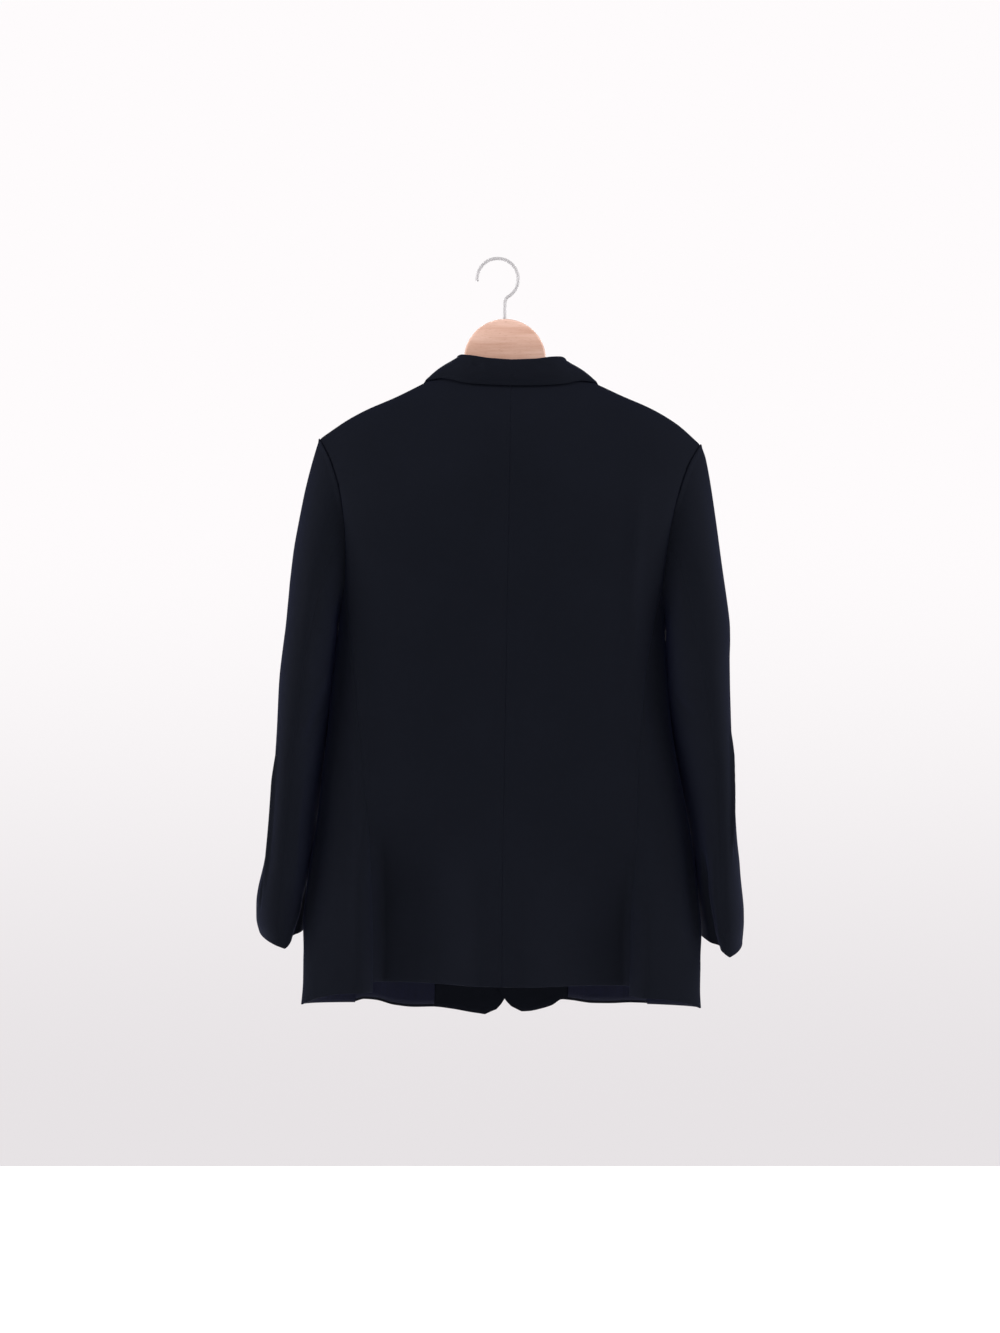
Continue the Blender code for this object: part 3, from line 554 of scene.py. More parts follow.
@dataclass(frozen=True)
class Tuck:
    """Where the back sinks in beside a side vent.

    Attributes:
        side: The side of the back.
        steep: The distances over which it sinks from the vent.
        gentle: The distances over which it sinks from the middle.
        falls: The heights over which it grows.
        depth: How far the cloth sinks at the hem.
        roundness: How soon the gentle side sinks, from 1 for at once.
    """

    side: Side
    steep: Place
    gentle: Place
    falls: Place
    depth: float
    roundness: float = 1.5

    def at(self, across: Array, height: Array) -> Array:
        """Measure the tuck at each place of the back.

        Args:
            across: The places' distances.
            height: Their heights.

        Returns:
            How far the cloth sinks at each.
        """
        apart = across * self.side.value
        run = np.clip((apart - self.gentle[0]) / (self.gentle[1] - self.gentle[0]), 0, 1)
        inner = np.sin(run * math.pi / 2) ** self.roundness
        return self.depth * ramp(height, *self.falls) * ramp(apart, *self.steep) * inner


VENT_TUCKS = (
    Tuck(Side.LEFT, (0.175, 0.145), (0.026, 0.108), (-0.655, -0.78), 0.029),
    Tuck(Side.RIGHT, (0.179, 0.149), (0.024, 0.134), (-0.67, -0.83), 0.029),
)

# Folds of the body, as distances and heights.
BACK_FOLDS = (
    Fold(((-0.086, -0.8), (-0.09, -0.89)), 0.016, 0.0014, 0.9, 0),
    Fold(((-0.178, -0.42), (-0.172, -0.56), (-0.17, -0.74), (-0.176, -0.89)), 0.016, 0.0032, 0.2, 0.3),
    Fold(
        ((0.158, -0.25), (0.154, -0.38), (0.159, -0.5), (0.176, -0.6), (0.19, -0.67), (0.19, -0.74)),
        0.018, 0.0036, 0.2, 0.3,
    ),
    Fold(((0.19, -0.36), (0.184, -0.47), (0.186, -0.6)), 0.016, -0.0024),
    Fold(((-0.22, -0.56), (-0.234, -0.72), (-0.237, -0.8), (-0.236, -0.855)), 0.04, -0.009, 0.45, 0.2),
    Fold(((0.22, -0.56), (0.232, -0.72), (0.237, -0.8), (0.238, -0.86)), 0.028, -0.008, 0.45, 0.2),
    Fold(((-0.16, -0.33), (-0.12, -0.4), (-0.09, -0.5)), 0.022, -0.0012, 0.5, 0.5),
    Fold(((0.13, -0.35), (0.1, -0.43), (0.082, -0.52)), 0.024, -0.0011, 0.5, 0.5),
    Fold(((0.02, -0.7), (0.026, -0.8), (0.022, -0.88)), 0.04, 0.0012, 0.6, 0.1),
    Fold(((-0.046, -0.76), (-0.05, -0.88)), 0.03, -0.0009, 0.7, 0.1),
)
FRONT_FOLDS = (
    Fold(((-0.15, -0.4), (-0.12, -0.47), (-0.06, -0.54), (-0.03, -0.566)), 0.02, 0.0018, 0.4, 0.3),
    Fold(((-0.13, -0.43), (-0.1, -0.5), (-0.05, -0.556)), 0.016, -0.0014),
    Fold(((0.15, -0.42), (0.11, -0.5), (0.06, -0.56)), 0.02, -0.0016),
    Fold(((-0.11, -0.7), (-0.118, -0.8), (-0.112, -0.92)), 0.026, 0.003, 0.7, 0),
    Fold(((0.1, -0.7), (0.112, -0.8), (0.106, -0.91)), 0.028, 0.0028, 0.7, 0),
    Fold(((-0.15, -0.74), (-0.156, -0.91)), 0.022, -0.0024, 0.7, 0),
    Fold(((0.148, -0.72), (0.152, -0.91)), 0.02, -0.0022, 0.7, 0),
)


@dataclass(frozen=True)
class BodyForm:
    """The hanging body of the blazer: its section at each height, and its folds.

    Sections are heights, each with the half width and the depths behind and in front, and the
    ridge is distances with heights. A squareness of 2 is round.
    """

    back_squareness: Line = ((-0.900, 2.15), (-0.780, 2.25), (-0.640, 2.60), (-0.500, 2.70))
    front_squareness: float = 2.5
    shoulder_fall: float = 0.160
    shoulder_sharpness: float = 0.70
    fold_blend: float = 0.70
    sections: Rows = (
        (-0.925, 0.245, 0.043, 0.046), (-0.88, 0.2418, 0.044, 0.048),
        (-0.85, 0.242, 0.045, 0.049), (-0.81, 0.2455, 0.046, 0.051),
        (-0.755, 0.2405, 0.046, 0.054), (-0.66, 0.2265, 0.047, 0.06),
        (-0.566, 0.209, 0.051, 0.07), (-0.5, 0.2035, 0.056, 0.077),
        (-0.44, 0.1985, 0.061, 0.083), (-0.35, 0.206, 0.065, 0.082),
        (-0.29, 0.221, 0.063, 0.074), (-0.222, 0.245, 0.057, 0.062),
        (-0.13, 0.262, 0.05, 0.052),
    )
    ridge_line: Line = (
        (0.0, -0.103), (0.0755, -0.137), (0.103, -0.15), (0.136, -0.166), (0.177, -0.184),
        (0.203, -0.199), (0.232, -0.222),
    )

    @cached_property
    def half_width(self) -> SmoothCurve:
        """Return the section's half width, by the height."""
        return SmoothCurve([(row[0], row[1]) for row in self.sections])

    @cached_property
    def depth(self) -> dict[Face, SmoothCurve]:
        """Return the section's depth behind and in front, by the height."""
        columns = {Face.BACK: 2, Face.FRONT: 3}
        return {
            face: SmoothCurve([(row[0], row[column]) for row in self.sections])
            for face, column in columns.items()
        }

    @cached_property
    def squareness(self) -> dict[Face, Callable]:
        """Return how square the section is behind and in front, by the height."""
        return {Face.BACK: SmoothCurve(self.back_squareness), Face.FRONT: lambda _: self.front_squareness}

    @cached_property
    def ridge(self) -> SmoothCurve:
        """Return the height of the shoulder's ridge, by the distance from the middle line."""
        return SmoothCurve(self.ridge_line)

    def on_ridge(self, across: Array, height: Array) -> Array:
        """Tell of each point whether it lies on the shoulder's ridge."""
        return self.ridge(np.abs(across)) - height < RIDGE_REACH

    def base(self, across: Array, height: Array, face: Face) -> Array:
        """Lay points on the unfolded surface.

        Args:
            across: Their distances.
            height: Their heights.
            face: The face that they lie on.

        Returns:
            The points.
        """
        below = np.clip((self.ridge(np.abs(across)) - height) / self.shoulder_fall, 0, 1)
        taper = np.sin(math.pi / 2 * below**self.shoulder_sharpness)
        share = np.minimum(np.abs(across) / self.half_width(height), 1)
        square = self.squareness[face](height)
        depth = self.depth[face](height) * (1 - share**square) ** (1 / square) * taper
        return stacked(across, face * depth, height)

    def normal(self, across: Array, height: Array, face: Face) -> Array:
        """Measure the way out of the unfolded surface.

        Args:
            across: The points' distances.
            height: Their heights.
            face: The face that they lie on.

        Returns:
            The unit normals there, which lie square to the ridge along it.
        """
        step, ridge_step = 0.0004, 0.002
        sideways = self.base(across + step, height, face) - self.base(across - step, height, face)
        upwards = self.base(across, height + step, face) - self.base(across, height - step, face)
        normal = unit(np.cross(sideways, upwards) * -face)
        apart = np.abs(across)
        slope = (self.ridge(apart + ridge_step) - self.ridge(apart - ridge_step)) / (2 * ridge_step)
        crest = unit(stacked(-slope * np.sign(across), 0, 1))
        return np.where(self.on_ridge(across, height)[..., None], crest, normal)

    def relief(self, across: Array, height: Array, front: Array | float) -> Array:
        """Measure the folds and tucks of the body.

        Args:
            across: The points' distances.
            height: Their heights.
            front: The share of the front's folds in each, from 0 at the back to 1 in front.

        Returns:
            How far the cloth is lifted at each.
        """
        back = lifted(BACK_FOLDS, across, height)
        for tuck in VENT_TUCKS:
            back = back - tuck.at(across, height)
        fore = lifted(FRONT_FOLDS, across, height)
        return back * (1 - front) + fore * front

    def surface(self, across: Array, height: Array, face: Face) -> tuple[Array, Array]:
        """Lay points on the folded surface.

        Args:
            across: Their distances.
            height: Their heights.
            face: The face that they lie on.

        Returns:
            The points and their unit normals.
        """
        across, height = np.broadcast_arrays(np.asarray(across, float), height)
        normal = self.normal(across, height, face)
        lift = self.relief(across, height, float(face is Face.FRONT))
        return self.base(across, height, face) + normal * lift[..., None], normal

    def turn_of(self, across: Array, height: Array, face: Face) -> Array:
        """Find the turns of points.

        Args:
            across: Their distances on the right.
            height: Their heights.
            face: The face that they lie on.

        Returns:
            Their turns round the body, 0 at the back and pi / 2 at the side.
        """
        share = np.minimum(across / self.half_width(height), 1)
        angle = np.arcsin(share ** (self.squareness[face](height) / 2))
        return angle if face is Face.BACK else math.pi - angle

    def section(self, turn: Array, height: Array) -> Array:
        """Lay points on the unfolded right side of the body.

        Args:
            turn: Their turns round the body, 0 at the back and pi / 2 at the side.
            height: Their heights.

        Returns:
            The points.
        """
        behind = turn < math.pi / 2
        square = np.where(behind, *[self.squareness[face](height) for face in Face])
        depth = np.where(behind, *[self.depth[face](height) for face in Face])
        across = self.half_width(height) * np.sin(turn) ** (2 / square)
        reach = depth * np.abs(np.cos(turn)) ** (2 / square)
        return stacked(across, np.where(behind, -reach, reach), height)

    def turned(self, turn: Array, height: Array, side: Side) -> tuple[Array, Array]:
        """Lay points on the folded surface by their turns.

        Args:
            turn: Their turns round the body, 0 at the back and pi / 2 at the side.
            height: Their heights.
            side: The side of the body.

        Returns:
            The points and their unit normals.
        """
        step, height_step = 0.004, 0.0005
        turn, height = np.broadcast_arrays(turn, height)
        point = self.section(turn, height)
        sideways = self.section(turn + step, height) - self.section(turn - step, height)
        upwards = self.section(turn, height + height_step) - self.section(turn, height - height_step)
        normal = unit(np.cross(sideways, upwards))
        front = ramp(turn, (math.pi - self.fold_blend) / 2, (math.pi + self.fold_blend) / 2)
        lift = self.relief(point[..., 0] * side.value, height, front)
        return (point + normal * lift[..., None]) * side.mirror, normal * side.mirror


def settled(hem: Callable, top: Callable, across_at: Callable, u: Array, v: Array) -> tuple[Array, Array]:
    """Find the places of a panel's points, whose columns and ends depend on where they lie.

    Args:
        hem: Gives the hem's height at a distance or a turn.
        top: Gives the top's height at it.
        across_at: Gives a column's distance or turn at a height.
        u: The points' columns, from 0 to 1.
        v: Their rows, from 0 at the hem to 1 at the top.

    Returns:
        Their distances or turns, and their heights.
    """
    first_guess = 0.1
    height = hem(first_guess) + v * (top(first_guess) - hem(first_guess))
    for _ in range(SEARCH_ROUNDS):
        across = across_at(u, height)
        target = hem(across) + v * (top(across) - hem(across))
        height = height + MENDED_SHARE * (target - height)
    return across_at(u, height), height


@dataclass(frozen=True)
class Pattern:
    """The cut of the blazer's body: where each panel's edges run on the body's form.

    Edge lines are heights with distances, and hems are distances with heights.
    """

    form: BodyForm = BodyForm()
    shoulder_tip: float = 0.2315
    underarm: float = -0.440
    back_junction: float = -0.395
    front_junction: float = -0.425
    neck_half_width: float = 0.0755
    back_neck: float = -0.148
    back_hem: float = -0.8805
    vent_top: float = -0.700
    vent_lap: float = 0.036
    lap_seam: float = 0.004
    lap_rise: float = 0.002
    roll_top: Place = (0.058, -0.190)
    roll_break: Place = (-0.016, -0.545)
    left_corner: Place = (0.036, 0.075)
    right_corner: Place = (0.044, 0.095)
    facing_share: float = 0.50
    facing_gap: float = 0.0015
    lining_rise: float = 0.0045
    side_hem_at_vent: float = -0.8925
    left_side_hem: float = -0.9100
    right_side_hem: float = -0.9060
    lapped: float = 0.0045
    lapping: Place = (0.048, 0.018)
    neck_line: Line = ((-0.170, 0.0640), (-0.150, 0.0705), (-0.137, 0.0755))
    back_edge_line: Line = (
        (-0.925, 0.158), (-0.8, 0.159), (-0.7, 0.162), (-0.6, 0.167), (-0.5, 0.176),
        (-0.44, 0.1855), (-0.395, 0.192), (-0.35, 0.1945), (-0.305, 0.2005), (-0.25, 0.2165),
        (-0.222, 0.2315),
    )
    front_edge_line: Line = (
        (-0.925, 0.18), (-0.7, 0.174), (-0.56, 0.162), (-0.46, 0.163), (-0.425, 0.169),
        (-0.38, 0.18), (-0.33, 0.187), (-0.29, 0.196), (-0.25, 0.2125), (-0.222, 0.2315),
    )
    left_hem: Line = (
        (0.02, -0.9235), (0.034, -0.9215), (0.059, -0.9172), (0.083, -0.9148), (0.108, -0.9156),
        (0.132, -0.9131), (0.156, -0.9068), (0.168, -0.906), (0.182, -0.909), (0.24, -0.91),
    )
    right_hem: Line = (
        (0.02, -0.919), (0.034, -0.9183), (0.051, -0.9145), (0.063, -0.9103), (0.075, -0.903),
        (0.087, -0.904), (0.112, -0.907), (0.136, -0.9064), (0.16, -0.9047), (0.24, -0.906),
    )

    @cached_property
    def back_edge(self) -> SmoothCurve:
        """Return how far the back's side edge lies from the middle line, by the height."""
        return SmoothCurve(self.back_edge_line)

    @cached_property
    def front_edge(self) -> SmoothCurve:
        """Return how far the front's side edge lies from the middle line, by the height."""
        return SmoothCurve(self.front_edge_line)

    @cached_property
    def neck_edge(self) -> SmoothCurve:
        """Return how far the front neck's edge lies from the middle line, by the height."""
        return SmoothCurve((self.roll_top[::-1], *self.neck_line))

    @cached_property
    def front_hem(self) -> dict[Side, SmoothCurve]:
        """Return the height of each front's hem, by the distance from the middle line."""
        return {Side.LEFT: SmoothCurve(self.left_hem), Side.RIGHT: SmoothCurve(self.right_hem)}

    @cached_property
    def side_turns(self) -> Place:
        """Return the turns at which the back's and the front's side seams meet the armhole."""
        back, front = self.back_junction, self.front_junction
        return (
            self.form.turn_of(self.back_edge(back), back, Face.BACK),
            self.form.turn_of(self.front_edge(front), front, Face.FRONT),
        )

    def back_top(self, across: Array) -> Array:
        """Measure how high the back's top edge lies: the neck's seam, then the shoulder's.

        Args:
            across: The distances.

        Returns:
            Its heights there.
        """
        ridge = self.form.ridge
        share = np.abs(across) / self.neck_half_width
        rise = ridge(self.neck_half_width) - self.back_neck
        return np.where(share >= 1, ridge(np.abs(across)), self.back_neck + rise * share**3)

    def back(self, side: Side) -> Sheet:
        """Cut a back panel, from the centre back seam to the side seam and the armhole.

        Args:
            side: The side of the back.

        Returns:
            The panel.
        """
        u, v = np.meshgrid(crowded(72, 0.6), PANEL_ROWS)
        across, height = settled(
            lambda at: self.back_hem + 0 * at,
            self.back_top,
            lambda share, level: share * (self.back_edge(level) + SEAM_OVERLAP) - SEAM_OVERLAP / 2,
            u,
            v,
        )
        points, normals = self.form.surface(across * side.value, height, Face.BACK)
        points[..., 1] += np.where(self.form.on_ridge(across, height), SEAM_OVERLAP / 2, 0)
        sheet = Sheet(points, normals).sewn(Edge.LAST, depth=0.0004)
        return sheet.sewn(Edge.FIRST, depth=0.0006, width=0.0022)

    def roll_line(self, height: Array) -> Array:
        """Measure how far out a front's inner edge lies, without its lower corner.

        Args:
            height: The heights.

        Returns:
            Its distances there, drawn for the right.
        """
        top, foot = self.roll_top, self.roll_break
        share = np.clip((top[1] - height) / (top[1] - foot[1]), 0, 1)
        straight = top[0] + share * (foot[0] - top[0])
        return np.where(height > top[1], self.neck_edge(height), straight)

    def front_at(self, side: Side, u: Array, v: Array) -> tuple[Array, Array]:
        """Find the places of a front's points, with its rounded lower corner.

        Args:
            side: The side of the front.
            u: The points' columns, from 0 at the inner edge to 1 at the side seam.
            v: Their rows, from 0 at the hem to 1 at the shoulder.

        Returns:
            Their distances from the middle line, and their heights.
        """
        hem = self.front_hem[side]
        low = float(hem(0))
        width, tall = self.left_corner if side is Side.LEFT else self.right_corner

        def column(share: Array, level: Array) -> Array:
            """Return a column's distance at a height."""
            inner = self.roll_line(level)
            sunk = np.clip((low + tall - level) / tall, 0, 1)
            corner = width * (1 - np.sqrt(1 - sunk * sunk))
            crowding = np.maximum(1 - share / self.facing_share, 0) ** 2
            reach = self.front_edge(level) + SEAM_OVERLAP / 2 - inner
            return inner + share * reach + corner * crowding

        return settled(hem, lambda at: self.form.ridge(np.abs(at)), column, u, v)

    def on_front(self, across: Array, height: Array, side: Side) -> tuple[Array, Array]:
        """Lay points on a front's outer side, which the left front has lifted where it laps over.

        Args:
            across: Their distances, but positive on the front's own side.
            height: Their heights.
            side: The side of the front.

        Returns:
            The points and their unit normals.
        """
        points, normals = self.form.surface(across * side.value, height, Face.FRONT)
        if side is Side.LEFT:
            points[..., 1] += self.lapped * ramp(across, *self.lapping)
        return points, normals

    def front(self, side: Side, u: Array, v: Array, depth: float = 0.0) -> Sheet:
        """Cut a sheet that lies on a front or within it.

        Args:
            side: The side of the front.
            u: The sheet's columns, from 0 at the inner edge to 1 at the side seam.
            v: Its rows, from 0 at the hem to 1 at the shoulder.
            depth: How far it lies below the front's outer side.

        Returns:
            The sheet.
        """
        u, v = np.meshgrid(u, v)
        across, height = self.front_at(side, u, v)
        points, normals = self.on_front(across, height, side)
        points = points - normals * depth
        points[..., 1] -= np.where(self.form.on_ridge(across, height), SEAM_OVERLAP / 2, 0)
        return Sheet(points, normals)

    def side_top(self, turn: Array) -> Array:
        """Measure how high the side body's top lies, which is the foot of the armhole.

        Args:
            turn: The turns round the body.

        Returns:
            Its heights there.
        """
        at_back, at_front = self.side_turns
        behind = (math.pi / 2 - turn) / (math.pi / 2 - at_back)
        before = (turn - math.pi / 2) / (at_front - math.pi / 2)
        rise = np.where(
            turn < math.pi / 2,
            (self.back_junction - self.underarm) * behind**2,
            (self.front_junction - self.underarm) * before**2,
        )
        return self.underarm + rise

    def side_body(self, side: Side) -> Sheet:
        """Cut a side body, from the side seam round to the front.

        Args:
            side: The side of the body.

        Returns:
            The side body.
        """
        form = self.form
        low = self.left_side_hem if side is Side.LEFT else self.right_side_hem

        def hem(turn: Array) -> Array:
            """Return the hem's height at a turn."""
            fallen = ramp(turn, math.pi / 4, math.pi / 2)
            return self.side_hem_at_vent + (low - self.side_hem_at_vent) * fallen

        def column(share: Array, level: Array) -> Array:
            """Return a column's turn at a height."""
            start = form.turn_of(self.back_edge(level) - SEAM_OVERLAP / 2, level, Face.BACK)
            stop = form.turn_of(self.front_edge(level) - SEAM_OVERLAP / 2, level, Face.FRONT)
            return start + share * (stop - start)

        u, v = np.meshgrid(crowded(34, 0.5), np.linspace(0, 1, 130))
        turn, height = settled(hem, self.side_top, column, u, v)
        points, normals = form.turned(turn, height, side)
        return Sheet(points, normals).sewn(Edge.FIRST, Edge.LAST, depth=0.0004)

    def under_lap(self, side: Side) -> Sheet:
        """Cut the underlap below the back panel at a side vent.

        Args:
            side: The side of the back.

        Returns:
            The underlap.
        """
        u, v = np.meshgrid(np.linspace(0, 1, 14), np.linspace(0, 1, 50))
        height = self.back_hem + self.lap_rise + v * (self.vent_top - self.back_hem)
        across = self.back_edge(height) - self.vent_lap * (1 - u) + self.lap_seam * u
        points, normals = self.form.surface(across * side.value, height, Face.BACK)
        return Sheet(points - normals * (CLOTH + CLEARANCE), normals)

    def armhole(self, side: Side) -> tuple[Callable, float]:
        """Trace the sleeve's seam round the armhole.

        Args:
            side: The side of the body.

        Returns:
            The seam as a function of the angle round it, 0 at the shoulder and pi at its foot,
            drawn for the right, and the angle at which it meets the side body's front seam.
        """
        form = self.form
        steps = 90
        tip = float(form.ridge(self.shoulder_tip))
        at_back, at_front = self.side_turns
        down = np.linspace(tip, self.front_junction, steps + 1)[:-1]
        round_it = np.linspace(at_front, at_back, steps + 1)[:-1]
        up = np.linspace(self.back_junction, tip, steps + 1)
        parts = (
            form.surface(self.front_edge(down) * side.value, down, Face.FRONT),
            form.turned(round_it, self.side_top(round_it), side),
            form.surface(self.back_edge(up) * side.value, up, Face.BACK),
        )
        seam = np.concatenate([points for points, _ in parts]) * side.mirror
        lengths = np.concatenate([[0], np.cumsum(np.linalg.norm(np.diff(seam, axis=0), axis=1))])
        low = lengths[int(np.argmin(seam[:, 2]))]

        def at(angle: Array) -> Array:
            """Return the seam's points at angles round it."""
            angle = np.mod(angle, math.tau)
            before = low * angle / math.pi
            behind = low + (lengths[-1] - low) * (angle / math.pi - 1)
            length = np.where(angle <= math.pi, before, behind)
            return stacked(*[np.interp(length, lengths, seam[:, axis]) for axis in range(3)])

        return at, math.pi * lengths[steps] / low


# Folds of the sleeves, as arcs from the underside of the arm, towards its back, and heights.
SLEEVE_FOLDS = {
    Side.LEFT: (
        Fold(((0.16, -0.59), (0.159, -0.7), (0.154, -0.775), (0.149, -0.8)), 0.006, -0.0075, 0.25, 0.2),
        Fold(((0.148, -0.58), (0.147, -0.7), (0.142, -0.79)), 0.008, 0.0048, 0.3, 0.3),
        Fold(((0.03, -0.77), (0.042, -0.8), (0.066, -0.828), (0.082, -0.845)), 0.009, 0.0018, 0.35, 0),
        Fold(((0.01, -0.75), (0.022, -0.8), (0.044, -0.83), (0.056, -0.845)), 0.013, -0.005, 0.35, 0),
        Fold(((0.03, -0.54), (0.06, -0.58), (0.085, -0.6)), 0.018, -0.0022, 0.4, 0.5),
        Fold(((0.02, -0.5), (0.055, -0.53), (0.08, -0.545)), 0.018, 0.0018, 0.4, 0.5),
        Fold(((0.115, -0.36), (0.095, -0.43), (0.085, -0.5)), 0.02, -0.0016, 0.4, 0.5),
        Fold(((0.06, -0.6), (0.064, -0.7), (0.062, -0.8)), 0.02, 0.0016, 0.4, 0.3),
    ),
    Side.RIGHT: (
        Fold(((0.168, -0.54), (0.158, -0.6), (0.145, -0.66), (0.138, -0.72)), 0.0065, -0.0075, 0.25, 0.3),
        Fold(((0.156, -0.55), (0.147, -0.61), (0.134, -0.67), (0.127, -0.73)), 0.0085, 0.0046, 0.3, 0.3),
        Fold(((0.074, -0.69), (0.074, -0.767), (0.082, -0.815), (0.106, -0.845)), 0.01, 0.0016, 0.3, 0),
        Fold(((0.05, -0.7), (0.05, -0.77), (0.058, -0.815), (0.074, -0.84)), 0.014, -0.006, 0.35, 0),
        Fold(((0.026, -0.52), (0.058, -0.55), (0.086, -0.56)), 0.018, -0.002, 0.4, 0.5),
        Fold(((0.12, -0.34), (0.1, -0.42), (0.092, -0.48)), 0.02, -0.0016, 0.4, 0.5),
        Fold(((0.056, -0.64), (0.06, -0.74), (0.058, -0.82)), 0.02, 0.0016, 0.4, 0.3),
    ),
}

# How far each sleeve's outer side stands out from its even form, by the height.
SLEEVE_OUTLINES = {
    Side.LEFT: (
        (-0.835, -0.001), (-0.807, 0.0056), (-0.77, 0.0048), (-0.734, 0.002),
        (-0.7, 0.0), (-0.64, -0.0014), (-0.575, -0.0022), (-0.515, -0.0014),
        (-0.455, -0.0032), (-0.418, -0.001), (-0.393, 0.0012), (-0.345, 0.0036),
        (-0.296, 0.0036), (-0.25, 0.0024), (-0.222, 0.001),
    ),
    Side.RIGHT: (
        (-0.826, -0.0012), (-0.8, 0.0008), (-0.774, 0.0006), (-0.73, 0.0012),
        (-0.7, 0.0), (-0.652, -0.0014), (-0.61, -0.0036), (-0.53, -0.0046),
        (-0.482, -0.0034), (-0.457, -0.001), (-0.43, 0.001), (-0.36, 0.0014),
        (-0.3, 0.0024), (-0.24, 0.0034), (-0.222, 0.0014),
    ),
}

# Folds of the collar's fall, as stations round the neck and shares down from its fold.
COLLAR_FOLDS = (
    Fold(((-1.75, 0.2), (-1.05, 0.34)), 0.2, -0.0012),
    Fold(((0.95, 0.26), (1.85, 0.24)), 0.2, -0.0012),
    Fold(((-0.6, 0.55), (0.7, 0.6)), 0.3, 0.0005),
)


@dataclass(frozen=True)
class CuffHem:
    """How a cuff's lower edge runs: it dips to a corner behind and rises in front.

    Attributes:
        corner: Where the corner lies, from -1 at the inner side to 1 at the outer side.
        inner: How far the inner side hangs above its even place.
        outer: The same of the outer side.
        outer_power: How the edge sinks from the outer side to the corner; 1 is straight.
        inner_power: The same from the inner side.
    """

    corner: float
    inner: float
    outer: float
    outer_power: float = 0.6
    inner_power: float = 0.9

    def level(self, cosine: Array, sine: Array) -> Array:
        """Shape the cuff's edge.

        Args:
            cosine: How far towards the outer side the places round the cuff lie, from -1 to 1.
            sine: How far towards the front they lie.

        Returns:
            The edge's height there, as a share of its slope's.
        """
        outside = np.maximum((1 - cosine) / (1 - self.corner), 0) ** self.outer_power
        inside = np.maximum((1 + cosine) / (1 + self.corner), 0) ** self.inner_power
        behind = np.where(cosine > self.corner, outside, inside)
        return np.where(sine < 0, -behind, sine * sine)

    def tilt(self, cosine: Array) -> Array:
        """Return how far the edge hangs above its even place."""
        return self.inner + (self.outer - self.inner) * (1 + cosine) / 2


CUFF_HEMS = {
    Side.LEFT: CuffHem(-0.32, -0.0004, 0.0005),
    Side.RIGHT: CuffHem(0.13, 0.0010, -0.0028),
}


